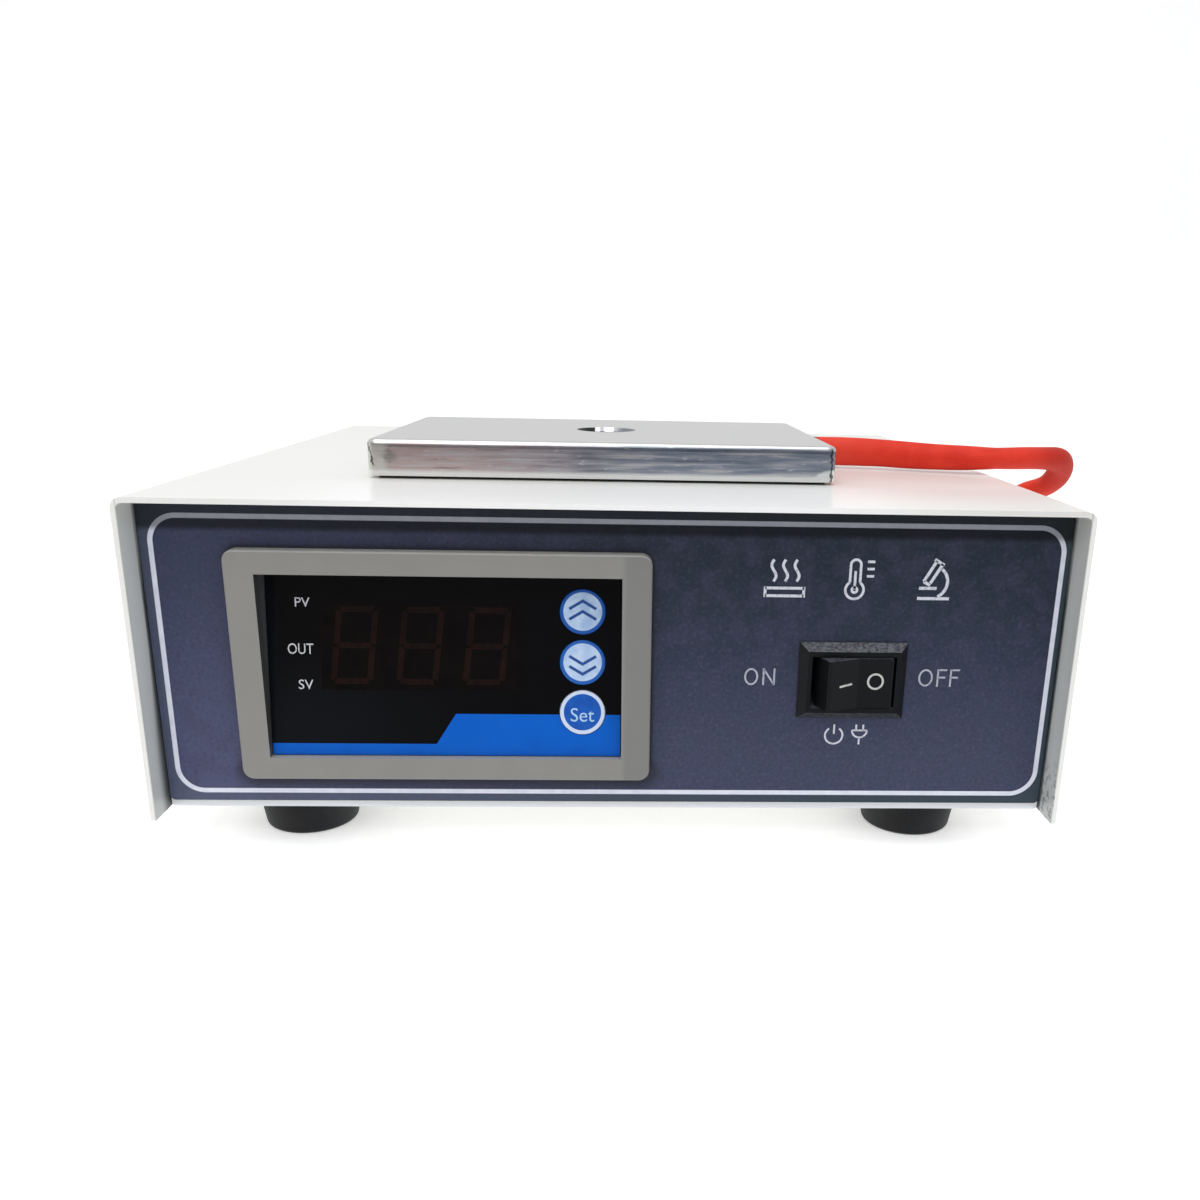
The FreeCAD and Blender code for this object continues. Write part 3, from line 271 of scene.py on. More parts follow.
def length_of(tree, a, b):
    squares = plus(tree, calc(tree, "POWER", a, 2.0), calc(tree, "POWER", b, 2.0))
    return calc(tree, "SQRT", squares)


def ramp(tree, value, low, high):
    node = add(tree, "ShaderNodeMapRange", {"interpolation_type": "SMOOTHSTEP"},
               {"Value": value, "From Min": low, "From Max": high})
    return node.outputs[0]


def fade(tree, value, low, high):
    return ramp(tree, value, low * mm, high * mm)


def mix(tree, share, a, b):
    node = add(tree, "ShaderNodeMix", {"data_type": "RGBA"}, {0: share, 6: a, 7: b})
    return node.outputs[2]


def stain(tree, base, share, strength, code):
    return mix(tree, times(tree, share, strength), base, colour(code))


def between(tree, share, a, b):
    node = add(tree, "ShaderNodeMix", {"data_type": "FLOAT"}, {0: share, 2: a, 3: b})
    return node.outputs[0]


def noise(tree, place, size, stretch=(1, 1, 1), detail=2.0):
    scaled = add(tree, "ShaderNodeMapping", None, {"Vector": place, "Scale": stretch})
    node = add(tree, "ShaderNodeTexNoise", None,
               {"Vector": scaled.outputs[0], "Scale": 1 / (size * mm), "Detail": detail})
    return node.outputs[0]


def waves(tree, place, size, axis="X", distortion=0.0):
    node = add(tree, "ShaderNodeTexWave", {"bands_direction": axis},
               {"Vector": place, "Scale": 0.314 / (size * mm), "Distortion": distortion})
    return node.outputs[1]


def bump(tree, height, depth, normal=None):
    values = {"Height": height, "Distance": depth * mm, "Strength": 1.0}
    if normal is not None:
        values["Normal"] = normal
    return add(tree, "ShaderNodeBump", None, values).outputs[0]


def start(name, **values):
    material = bpy.data.materials.new(name)
    material.use_nodes = True
    tree = material.node_tree
    tree.nodes.clear()
    shader = add(tree, "ShaderNodeBsdfPrincipled")
    for key, value in values.items():
        shader.inputs[key.replace("_", " ")].default_value = value
    add(tree, "ShaderNodeOutputMaterial", None, {0: shader.outputs[0]})
    place = add(tree, "ShaderNodeTexCoord").outputs["Object"]
    return material, tree, shader, place


def feed(tree, shader, **sockets):
    for key, value in sockets.items():
        tree.links.new(value, shader.inputs[key.replace("_", " ")])


def axes(tree, place):
    node = add(tree, "ShaderNodeSeparateXYZ", None, {0: place})
    return node.outputs[0], node.outputs[1], node.outputs[2]


def facing_up(tree):
    normal = add(tree, "ShaderNodeNewGeometry").outputs["True Normal"]
    return axes(tree, normal)[2]


print("node tools ready")

# %% [markdown]
# ## Plain materials
# Most small and hidden parts share one recipe: two close colours, a grain of a real size
# in millimetres, and a roughness that varies with a wider noise.

# %% Recipe for plastics, metals and rubber
def plain(name, dark, light, grain, depth, rough, rough_more=0.1, metal=0.0, stretch=(1, 1, 1), wide=6.0):
    material, tree, shader, place = start(name, Metallic=metal)
    fine = noise(tree, place, grain, stretch)
    broad = noise(tree, place, wide)
    shade = plus(tree, times(tree, fine, 0.5), times(tree, broad, 0.5))
    share = ramp(tree, shade, 0.35, 0.65)
    feed(tree, shader,
         Base_Color=mix(tree, share, colour(dark), colour(light)),
         Roughness=between(tree, broad, rough, rough + rough_more),
         Normal=bump(tree, fine, depth))
    return material


zinc_steel = plain("zinc_plated_steel", "#A9A8A0", "#C9C8C2", 0.5, 0.01, 0.24, 0.16, metal=1.0)
strap_steel = plain("pressed_steel_strap", "#A5A6A6", "#BDBEBE", 0.12, 0.01, 0.32, 0.12, metal=1.0,
                    stretch=(0.05, 1, 1))
plated_brass = plain("plated_brass", "#B99752", "#D8BC7A", 0.3, 0.008, 0.22, 0.14, metal=1.0)
drawn_aluminium = plain("drawn_aluminium", "#B9BABC", "#CDCED0", 0.15, 0.006, 0.28, 0.1, metal=1.0,
                        stretch=(1, 1, 0.05))
black_plastic = plain("moulded_black_plastic", "#121315", "#1A1B1D", 0.28, 0.012, 0.38, 0.1)
housing_plastic = plain("dark_grey_housing", "#494A4C", "#525355", 0.28, 0.012, 0.45, 0.1)
ivory_plastic = plain("ivory_nylon", "#D6D0BC", "#E2DDCB", 0.4, 0.006, 0.42)
foot_rubber = plain("black_rubber", "#141516", "#202223", 0.35, 0.018, 0.52, 0.16)
relay_plastic = plain("relay_blue_plastic", "#23479E", "#2C55B4", 0.3, 0.006, 0.3)
supply_tape = plain("yellow_tape", "#C99A22", "#DDB23A", 0.2, 0.012, 0.4, stretch=(1, 1, 0.2))
dark_lens = plain("smoked_lens", "#1A0B0A", "#241110", 1.2, 0.002, 0.1, 0.04)
felt = plain("insulating_felt", "#C2BFB0", "#DAD7CA", 0.09, 0.05, 0.9, 0.05, stretch=(1, 0.3, 1))
# The stage base is made black so that the gap under the plate reads dark: a dark part standing in for
# shade.
gap_shade_board = plain("black_board_gap_shade", "#0B0B0C", "#121213", 0.6, 0.004, 0.5, stretch=(0.1, 1, 1))
heater_mat = plain("silicone_heater_mat", "#8E2F1C", "#A63A24", 0.6, 0.02, 0.55)
print(len(bpy.data.materials), "materials so far")

# %% Printed boards, stacked core and copper winding
def board_material():
    material, tree, shader, place = start("green_board", Roughness=0.3)
    cells = add(tree, "ShaderNodeTexVoronoi", {"feature": "DISTANCE_TO_EDGE"},
                {"Vector": place, "Scale": 1 / (3.2 * mm)}).outputs[0]
    track = ramp(tree, cells, 0.09, 0.13)
    tint = mix(tree, noise(tree, place, 4.0), colour("#0E4A26"), colour("#14602F"))
    feed(tree, shader, Base_Color=mix(tree, track, colour("#1F7A3C"), tint),
         Normal=bump(tree, track, -0.03))
    return material


def core_material():
    material, tree, shader, place = start("stacked_core_steel", Metallic=0.7)
    sheets = waves(tree, place, 0.5, "Y")
    spots = noise(tree, place, 2.5)
    feed(tree, shader,
         Base_Color=mix(tree, spots, colour("#35332F"), colour("#57534B")),
         Roughness=between(tree, sheets, 0.35, 0.6),
         Normal=bump(tree, sheets, 0.05))
    return material


def winding_material():
    material, tree, shader, place = start("enamelled_copper_wire", Metallic=0.85)
    turns = waves(tree, place, 0.45, "Z", 0.4)
    tone = mix(tree, noise(tree, place, 3.0), colour("#8E4A22"), colour("#B8652F"))
    feed(tree, shader,
         Base_Color=mix(tree, ramp(tree, turns, 0.1, 0.6), colour("#5A2A14"), tone),
         Roughness=between(tree, turns, 0.5, 0.25),
         Normal=bump(tree, turns, 0.2))
    return material


green_board = board_material()
core_steel = core_material()
copper_wire = winding_material()
print(len(bpy.data.materials), "materials so far")

# %% [markdown]
# ## White paint
# A semi-gloss coat with a faint orange-peel surface and tiny specks.
# The insides of the walls carry painted shade, darker on the right and low on the left. Painted shade
# turns dark at the seam beside the panel and stays dark to the rear, so a dark strip shows behind the rear
# panel as well.
# The right wall is scuffed low down, which the photo shows at its front corner.

# %% White paint
wall_inside = 87.25
panel_half = 87.0
seam_y = -77.4
seam_width = 0.9
seam_spread = 2.6


def paint_material():
    material, tree, shader, place = start("white_powder_coat", Coat_Weight=0.25, Coat_Roughness=0.12)
    x, y, z = axes(tree, place)
    broad = noise(tree, place, 30.0)
    specks = ramp(tree, noise(tree, place, 0.35), 0.66, 0.72)
    from_middle = calc(tree, "ABSOLUTE", x)
    on_right = ramp(tree, x, 0.0, 0.01)
    on_left = ramp(tree, x, 0.0, -0.01)
    base = mix(tree, broad, colour("#F0F0EB"), colour("#F5F5F0"))
    base = stain(tree, base, specks, 0.25, "#CFCEC6")
    # Painted light whitens the top in front of the plate, and a painted shadow of the lead, with its red
    # glow, darkens the right end.
    front_top = times(tree, fade(tree, z, 69.0, 70.5), fade(tree, y, -50.0, -60.0))
    base = stain(tree, base, times(tree, front_top, fade(tree, from_middle, 70.0, 35.0)), 0.9, "#FFFFFE")
    base = stain(tree, base, times(tree, front_top, fade(tree, x, 45.0, 80.0)), 0.8, "#E7E4E0")
    # Painted shade on the inner wall faces: greyer overall, darker on the right and low on the left.
    wall = fade(tree, far_from(tree, from_middle, wall_inside), 0.2, 0.1)
    wall_shade_tint = mix(tree, on_right, colour("#D3D5D3"), colour("#B6BAB8"))
    low_left = times(tree, fade(tree, z, 45.0, 15.0), on_left)
    wall_shade_tint = stain(tree, wall_shade_tint, low_left, 0.6, "#A9ADAC")
    base = mix(tree, times(tree, wall, 0.75), base, wall_shade_tint)
    # Painted shade at the seam between wall and panel, wider low on the left; it has no far end, so it runs
    # on to the rear.
    seam_start = minus(tree, (seam_y - seam_width) * mm, times(tree, low_left, seam_spread * mm))
    seam_shade = times(tree, wall, ramp(tree, y, seam_start, seam_y * mm))
    base = stain(tree, base, seam_shade, between(tree, fade(tree, z, 50.0, 62.0), 0.9, 0.6), "#36383A")
    low_right = times(tree, fade(tree, z, 24.0, 13.0), on_right)
    marks = ramp(tree, noise(tree, place, 1.9, (1, 1, 1.5), 4.0), 0.5, 0.6)
    base = stain(tree, base, times(tree, times(tree, wall, low_right), marks), 0.75, "#6A7074")
    sill = times(tree, fade(tree, z, 10.4, 9.8), fade(tree, from_middle, panel_half, panel_half - 0.2))
    sill = times(tree, sill, fade(tree, y, -74.0, -75.0))
    base = stain(tree, base, sill, 0.8, "#D6DAE0")
    feed(tree, shader, Base_Color=base,
         Roughness=between(tree, broad, 0.3, 0.38),
         Normal=bump(tree, noise(tree, place, 0.9, detail=1.0), 0.006))
    return material


white_paint = paint_material()
print("paint ready")

# %% [markdown]
# ## Printed film of the front panel
# A dark blue-grey film, softly mottled, more violet to the left, with painted light making it paler to the
# bottom.
# The white line is a rounded rectangle, worked out from the distance to its middle line.
# The cover's lip shades the top, and painted contact shade darkens the film close round the frame.

# %% Panel film
line_middle = (0.35, 39.7)
line_half = (85.3, 27.2)
line_corner = 5.0
frame_corner = 2.2


def from_line(tree, x, z, middle, half, corner):
    parts = [minus(tree, far_from(tree, x, middle[0]), (half[0] - corner) * mm),
             minus(tree, far_from(tree, z, middle[1]), (half[1] - corner) * mm)]
    over = [calc(tree, "MAXIMUM", part, 0.0) for part in parts]
    inside = calc(tree, "MINIMUM", calc(tree, "MAXIMUM", parts[0], parts[1]), 0.0)
    return minus(tree, plus(tree, length_of(tree, over[0], over[1]), inside), corner * mm)


def from_frame(tree, x, z):
    low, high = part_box("controller_frame")
    middle = [(low[axis] + high[axis]) / 2 / mm for axis in (0, 2)]
    half = [(high[axis] - low[axis]) / 2 / mm for axis in (0, 2)]
    return from_line(tree, x, z, middle, half, frame_corner)


def film_material():
    material, tree, shader, place = start("printed_panel_film", Specular_IOR_Level=0.3)
    x, _, z = axes(tree, place)
    mottled = noise(tree, place, 4.0, detail=4.0)
    speck = noise(tree, place, 0.7, detail=4.0)
    across = fade(tree, x, -85.0, 30.0)
    lit_low_tint = mix(tree, across, colour("#515677"), colour("#414862"))
    shaded_high_tint = mix(tree, across, colour("#39405A"), colour("#222D3B"))
    # Painted light and shade: the film is paler toward the bottom and darker toward the top.
    base = mix(tree, fade(tree, z, 12.0, 64.0), lit_low_tint, shaded_high_tint)
    base = stain(tree, base, ramp(tree, mottled, 0.42, 0.66), 0.3, "#48425F")
    speck_share = between(tree, fade(tree, z, 30.0, 66.0), 0.35, 0.2)
    base = stain(tree, base, ramp(tree, speck, 0.48, 0.8), speck_share, "#5C6280")
    base = stain(tree, base, ramp(tree, speck, 0.5, 0.2), 0.35, "#222735")
    away = from_line(tree, x, z, line_middle, line_half, line_corner)
    border = fade(tree, away, 0.0, 0.2)
    base = stain(tree, base, border, 0.4, "#5E6877")
    base = stain(tree, base, times(tree, border, fade(tree, x, -60.0, 60.0)), 0.75, "#33434B")
    # Painted contact shade on the film round the frame, widest below it.
    reach = between(tree, fade(tree, z, 20.0, 15.5), 0.9 * mm, 4.6 * mm)
    base = stain(tree, base, ramp(tree, from_frame(tree, x, z), reach, 0.2 * mm), 0.75, "#2A2C33")
    lip_shade = fade(tree, z, 63.8, 65.2)
    base = stain(tree, base, lip_shade, 0.35, "#05080C")
    line_share = fade(tree, calc(tree, "ABSOLUTE", away), 0.53, 0.41)
    line_tint = mix(tree, noise(tree, place, 1.5, detail=4.0), colour("#D0D5E6"), colour("#F2F5FF"))
    base = mix(tree, line_share, base, line_tint)
    base = stain(tree, base, lip_shade, 0.63, "#05080C")
    feed(tree, shader, Base_Color=base,
         Roughness=between(tree, noise(tree, place, 25.0), 0.4, 0.5),
         Normal=bump(tree, speck, 0.006))
    return material


panel_film = film_material()
print("film ready")

# %% [markdown]
# ## Controller
# The frame is warm grey plastic, with painted shade on its right band and a painted highlight on its upward
# faces.
# Inside its window the flanks carry painted shade, less deep toward the bottom, and only the ledge at the
# bottom stays grey.
# The tilted face is black with a blue band that steps up to the right under the keys; a painted reflection
# lightens the black low on the left and beside the left flank.

# %% Controller frame, face and keys
frame_front_y = -79.6
window_low = (-66.0, 20.4)
window_high = (1.8, 56.6)
lean = math.atan2(4.7, 36.2)
low_band_top = 22.85
high_band_top = 28.85
step_x = -34.2
step_slope = 0.633
key_radius = 4.4
soft = 0.04


def in_window(tree, x, z, margin=0.1, blur=0.03):
    left = window_low[0] - margin
    right_side = window_high[0] + margin
    bottom = window_low[1] + margin
    top = window_high[1] + margin
    share = fade(tree, x, left - blur, left + blur)
    share = times(tree, share, fade(tree, x, right_side + blur, right_side - blur))
    share = times(tree, share, fade(tree, z, bottom - blur, bottom + blur))
    return times(tree, share, fade(tree, z, top + blur, top - blur))


def frame_material():
    material, tree, shader, place = start("grey_moulded_plastic")
    x, y, z = axes(tree, place)
    broad = noise(tree, place, 9.0)
    # Painted shade on the window's flanks, less deep toward the bottom.
    flank_shade = times(tree, in_window(tree, x, z), fade(tree, y, frame_front_y, frame_front_y + 0.1))
    grey = mix(tree, broad, colour("#8B8A86"), colour("#93928D"))
    # Painted shade on the frame's right band, and a painted highlight on the faces that look up.
    grey = stain(tree, grey, fade(tree, x, 1.5, 3.0), 0.8, "#80807D")
    grey = stain(tree, grey, ramp(tree, facing_up(tree), 0.2, 0.6), 0.7, "#BDBCB8")
    dark = mix(tree, fade(tree, z, 24.0, 20.6), colour("#434344"), colour("#605F5C"))
    feed(tree, shader, Base_Color=mix(tree, flank_shade, grey, dark),
         Roughness=between(tree, broad, 0.4, 0.5),
         Normal=bump(tree, noise(tree, place, 0.3), 0.012))
    return material


def face_material():
    material, tree, shader, place = start("gloss_black_film", Specular_IOR_Level=0.14)
    x, _, z = axes(tree, place)
    step = plus(tree, times(tree, minus(tree, z, low_band_top * mm), step_slope), step_x * mm)
    past_step = fade(tree, minus(tree, x, step), -soft, soft)
    low_band = fade(tree, z, low_band_top + soft, low_band_top - soft)
    high_band = times(tree, past_step, fade(tree, z, high_band_top + soft, high_band_top - soft))
    blue = mix(tree, noise(tree, place, 6.0), colour("#085BC2"), colour("#0C66D0"))
    black = mix(tree, noise(tree, place, 8.0), colour("#050506"), colour("#080A0C"))
    # Painted reflection lightens the black low on the left and beside the left flank.
    low_left = times(tree, fade(tree, z, 46.0, 26.0), fade(tree, x, -20.0, -62.0))
    beside_flank = times(tree, fade(tree, x, -63.2, -65.2), 0.9)
    black = mix(tree, calc(tree, "MAXIMUM", low_left, beside_flank), black, colour("#101317"))
    feed(tree, shader, Base_Color=mix(tree, calc(tree, "MAXIMUM", low_band, high_band), black, blue),
         Roughness=between(tree, noise(tree, place, 12.0), 0.14, 0.22),
         Normal=bump(tree, noise(tree, place, 3.0), 0.004))
    return material


def middle_of(node):
    low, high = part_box(node)
    return [(low[axis] + high[axis]) / 2 / mm for axis in range(3)]


def key_material(name, key, fill, edge, ring_width):
    material, tree, shader, place = start(name, Roughness=0.32, Specular_IOR_Level=0.3)
    x, y, z = axes(tree, place)
    key_x, key_y, key_z = middle_of(key)
    above = plus(tree, times(tree, minus(tree, z, key_z * mm), math.cos(lean)),
                 times(tree, minus(tree, y, key_y * mm), math.sin(lean)))
    radius = length_of(tree, minus(tree, x, key_x * mm), above)
    edge_start = key_radius - ring_width
    border = fade(tree, radius, edge_start - soft, edge_start + soft)
    base = mix(tree, ramp(tree, noise(tree, place, 2.0), 0.3, 0.7), colour(fill[0]), colour(fill[1]))
    feed(tree, shader, Base_Color=mix(tree, border, base, colour(edge)),
         Normal=bump(tree, noise(tree, place, 0.25), 0.004))
    return material


frame_plastic = frame_material()
face_film = face_material()
up_film = key_material("up_key_film", "key_up", ("#A6C4EA", "#C6DDF8"), "#1D58B0", 0.68)
down_film = key_material("down_key_film", "key_down", ("#AFCBF0", "#CBE0F9"), "#2262B8", 0.68)
set_film = key_material("set_key_film", "key_set", ("#0E55B4", "#145FC0"), "#D3E1F6", 0.76)
print("controller materials ready")

# %% [markdown]
# ## Switch, plate and lead
# The switch is black with a fine grain, and its bevels carry a painted highlight with fine specks. The
# plate is
# satin aluminium: its top is even, and its upright sides carry long level streaks and a painted reflection,
# warmer to the left and bluer to the right. The folded corners have painted shade in a crease and along the
# right corner, a pale painted highlight with a spot to the left, and a bright painted reflection below.

# %% Switch plastic
def switch_material():
    material, tree, shader, place = start("black_switch_plastic", Specular_IOR_Level=0.35)
    facing = facing_up(tree)
    # Painted highlight on the bevels, strongest on those facing up, with fine specks from the grain.
    top_bevel = times(tree, ramp(tree, facing, 0.3, 0.6), 0.75)
    low_bevel = times(tree, ramp(tree, facing, -0.3, -0.6), 0.25)
    grain = noise(tree, place, 0.45, (0.7, 1, 1), 5.0)
    bevel_highlight_specks = mix(tree, ramp(tree, grain, 0.3, 0.72), colour("#34373D"), colour("#7C7F8A"))
    black = mix(tree, grain, colour("#0A0D0F"), colour("#111518"))
    feed(tree, shader, Base_Color=mix(tree, plus(tree, top_bevel, low_bevel), black, bevel_highlight_specks),
         Roughness=between(tree, noise(tree, place, 4.0), 0.36, 0.46),
         Normal=bump(tree, grain, 0.015))
    return material


switch_plastic = switch_material()
print("switch ready")

# %% Plate aluminium
plate_left = -50.9
plate_right = 46.0
fold_top = 77.5
hole_middle = (-2.45, -17.65)
hole_bevel = 6.9


def plate_side(tree, place, x, z, level, streaks, blots):
    # Painted reflection on the upright sides: warmer to the left and bluer to the right.
    side = mix(tree, fade(tree, x, -40.0, 12.0), colour("#C6B2AF"), colour("#8993A1"))
    shade = plus(tree, times(tree, streaks, 0.7), times(tree, blots, 0.3))
    side = mix(tree, ramp(tree, shade, 0.44, 0.66), side, colour("#C4C3C5"))
    side = stain(tree, side, ramp(tree, shade, 0.46, 0.36), 0.5, "#5A6068")
    scratch = ramp(tree, noise(tree, level, 0.6, (0.25, 1, 1), 5.0), 0.6, 0.68)
    side = stain(tree, side, scratch, 0.45, "#E4E4E4")
    # Painted dark reflection line just under the rounded top edge.
    edge = far_from(tree, z, fold_top + 0.15)
    side = stain(tree, side, fade(tree, edge, 0.3, 0.1), 0.5, "#54565C")
    wobble = times(tree, minus(tree, noise(tree, place, 0.9, detail=3.0), 0.5), 1.6 * mm)
    from_left = plus(tree, minus(tree, x, plate_left * mm), wobble)
    from_right = plus(tree, minus(tree, plate_right * mm, x), wobble)
    down = minus(tree, fold_top * mm, z)
    # Painted highlight: a pale patch near the left corner, with a darker greenish spot in it.
    side = stain(tree, side, fade(tree, from_left, 5.2, 3.0), 0.8, "#DADCD4")
    spot = plus(tree, far_from(tree, from_left, 4.8), far_from(tree, down, 2.0))
    side = stain(tree, side, fade(tree, spot, 2.4, 0.8), 0.6, "#878C78")
    # Painted shade in the crease near the left corner.
    crease_shade = minus(tree, from_left, plus(tree, times(tree, down, 0.3), 0.5 * mm))
    crease_shade = times(tree, fade(tree, calc(tree, "ABSOLUTE", crease_shade), 0.32, 0.1), fade(tree, down, 4.2, 3.6))
    side = stain(tree, side, crease_shade, 0.85, "#3C3E3C")
    # Painted bright reflection low on the sides, rising to a triangle at the right corner.
    rise = times(tree, fade(tree, from_right, 5.0, 1.5), 1.3 * mm)
    side = stain(tree, side, fade(tree, minus(tree, z, rise), 73.2, 72.3), 0.9, "#F2F2EF")
    # Painted shade along the right corner.
    return stain(tree, side, fade(tree, far_from(tree, from_right, 0.9), 0.4, 0.15), 0.85, "#2C2E33")


def plate_material():
    material, tree, shader, place = start("satin_aluminium", Metallic=1.0)
    x, y, z = axes(tree, place)
    level = add(tree, "ShaderNodeCombineXYZ", None, {0: plus(tree, x, y), 2: z}).outputs[0]
    brushed = noise(tree, place, 0.12, (0.02, 1, 1), 3.0)
    streaks = noise(tree, level, 0.8, (0.06, 1, 1), 4.0)
    blots = noise(tree, place, 5.0, (0.4, 1, 1), 2.0)
    hole_x = minus(tree, x, hole_middle[0] * mm)
    hole_y = minus(tree, y, hole_middle[1] * mm)
    in_bevel = fade(tree, length_of(tree, hole_x, hole_y), hole_bevel + 0.05, hole_bevel - 0.03)
    # Painted reflections in the light hole's bevel: dark to the left, grey to the right, and two painted
    # white glints.
    bevel = mix(tree, fade(tree, hole_x, -3.0, -2.4), colour("#3B3C3E"), colour("#9A99A2"))
    for centre, half in ((-2.2, 0.45), (0.5, 1.0)):
        glint = fade(tree, far_from(tree, hole_x, centre), half + 0.25, half)
        bevel = mix(tree, glint, bevel, colour("#FFFFFF"))
    top = mix(tree, blots, colour("#DCDCDB"), colour("#E1E0DE"))
    top = mix(tree, in_bevel, top, bevel)
    side = plate_side(tree, place, x, z, level, streaks, blots)
    upright = ramp(tree, facing_up(tree), 0.8, 0.3)
    upright = times(tree, upright, minus(tree, 1.0, in_bevel))
    feed(tree, shader, Base_Color=mix(tree, upright, top, side),
         Roughness=between(tree, upright, 0.36, 0.27),
         Normal=bump(tree, brushed, 0.004, bump(tree, streaks, 0.01)))
    return material


satin_aluminium = plate_material()
polished_aluminium = plain("polished_aluminium", "#77787E", "#A9AAB0", 0.8, 0.004, 0.12, 0.08, metal=1.0)
print("plate ready")

# %% [markdown]
# ## The lead's sleeve
# The sleeve is soft: thick where it leaves the plate, slimmer on the way, and pressed tall
# at the fold. The mesh keeps millimetres in its UVs, so the weave has its real size.

# %% Sleeve mesh
sleeve_radius = 2.8
stitch = 0.733


def sleeve_mesh(name, line_points, distance, material, sides=28):
    ways = np.gradient(line_points, axis=0)
    ways /= np.linalg.norm(ways, axis=1)[:, None]
    aside = np.cross(ways, [0, 0, 1])
    aside /= np.linalg.norm(aside, axis=1)[:, None]
    above = np.cross(aside, ways)
    stations = np.array([0, 12, 26, 35, 42, 52, 62, 70, 90, 140, 900]) * mm
    half_heights = np.array([3.3, 3.3, 3.05, 2.8, 2.5, 2.6, 2.9, 2.5, 2.5, 2.75, 2.75]) * mm
    tall = np.interp(distance, stations, half_heights)
    wide = 2 * sleeve_radius * mm - tall
    ripple = 0.05 * mm * np.sin(distance / (3.1 * mm)) * np.sin(distance / (7.7 * mm))
    angles = np.linspace(0, 2 * math.pi, sides, endpoint=False)
    rings = (line_points[:, None, :]
             + np.cos(angles)[None, :, None] * (wide + ripple)[:, None, None] * aside[:, None, :]
             + np.sin(angles)[None, :, None] * (tall + ripple)[:, None, None] * above[:, None, :])
    count = len(line_points)
    first = np.arange(count - 1)[:, None] * sides
    now = np.arange(sides)[None, :]
    after = (now + 1) % sides
    quads = np.stack([first + now, first + after, first + sides + after, first + sides + now], axis=-1)
    faces = quads.reshape(-1, 4).tolist()
    faces.append(list(range(sides))[::-1])
    faces.append(list(range((count - 1) * sides, count * sides)))
    piece = make_piece(name, rings.reshape(-1, 3), faces, material, smooth=True)
    around = np.stack([now + 0 * first, now + 1 + 0 * first, now + 1 + 0 * first, now + 0 * first], axis=-1)
    lengths = distance / mm
    near, far = lengths[:-1][:, None] + 0 * now, lengths[1:][:, None] + 0 * now
    lengthwise = np.stack([near, near, far, far], axis=-1)
    uv = np.stack([around * (2 * math.pi * sleeve_radius / sides), lengthwise], axis=-1).reshape(-1, 2)
    uv = np.vstack([uv, np.zeros((2 * sides, 2))])
    layer = piece.data.uv_layers.new(name="millimetres")
    layer.data.foreach_set("uv", uv.ravel())
    return piece


def sleeve_material():
    material, tree, shader, place = start("red_knitted_sleeve", Sheen_Weight=0.06, Sheen_Roughness=0.4,
                                          Specular_IOR_Level=0.3)
    shader.inputs["Sheen Tint"].default_value = colour("#FF9A80")
    coordinates = add(tree, "ShaderNodeUVMap", {"uv_map": "millimetres"}).outputs[0]
    u, v, _ = axes(tree, coordinates)
    turn = 2 * math.pi / stitch
    lean_a = calc(tree, "SINE", times(tree, plus(tree, u, v), turn))
    lean_b = calc(tree, "SINE", times(tree, minus(tree, u, v), turn))
    weave = times(tree, times(tree, lean_a, lean_b), 0.5)
    broad = noise(tree, place, 7.0)
    fuzz = noise(tree, place, 0.3, detail=3.0)
    base = mix(tree, ramp(tree, broad, 0.3, 0.7), colour("#E22A14"), colour("#EE3A21"))
    base = mix(tree, ramp(tree, fuzz, 0.58, 0.8), base, colour("#F25A42"))
    base = mix(tree, ramp(tree, weave, -0.2, -0.5), base, colour("#BC200C"))
    # Painted shade at the fold, where the lead turns down.
    fold_shade = times(tree, ramp(tree, v, 46.0, 58.0), ramp(tree, v, 76.0, 66.0))
    base = stain(tree, base, fold_shade, 0.6, "#A81C0E")
    # Painted highlight on the lead near the plate.
    base = stain(tree, base, ramp(tree, v, 20.0, 4.0), 0.5, "#F8513A")
    feed(tree, shader, Base_Color=base,
         Roughness=between(tree, fuzz, 0.5, 0.68),
         Normal=bump(tree, plus(tree, weave, fuzz), 0.035))
    return material


red_sleeve = sleeve_material()
lead = sleeve_mesh("red_lead", path, along, red_sleeve)
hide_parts("lead_run", "lead_coil", "lead_tail")
print("sleeve", len(lead.data.polygons), "faces")

# %% [markdown]
# ## Prints on the panel
# The real panel names the device in characters. Three plain signs stand in their place:
# a warm plate, a thermometer and a microscope. ON and OFF stay, as they are generic.

# %% Panel signs
print_y = -77.13


def print_material(name, dark, light):
    material, tree, shader, place = start(name, Roughness=0.45)
    worn = noise(tree, place, 0.5, detail=4.0)
    feed(tree, shader, Base_Color=mix(tree, ramp(tree, worn, 0.3, 0.5), colour(dark), colour(light)),
         Normal=bump(tree, worn, 0.004))
    return material


def on_panel(points):
    return on_plane(points, (0, print_y, 0), (1, 0, 0), (0, 0, 1))


def print_on_panel(name, shape, material):
    points, faces = shape
    return make_piece(name, on_panel(points), faces, material)


def wave_line(x, y, height, sway):
    share = np.linspace(0, 1, 13)
    return np.column_stack([x + sway * np.sin(share * 2 * math.pi), y + height * share])


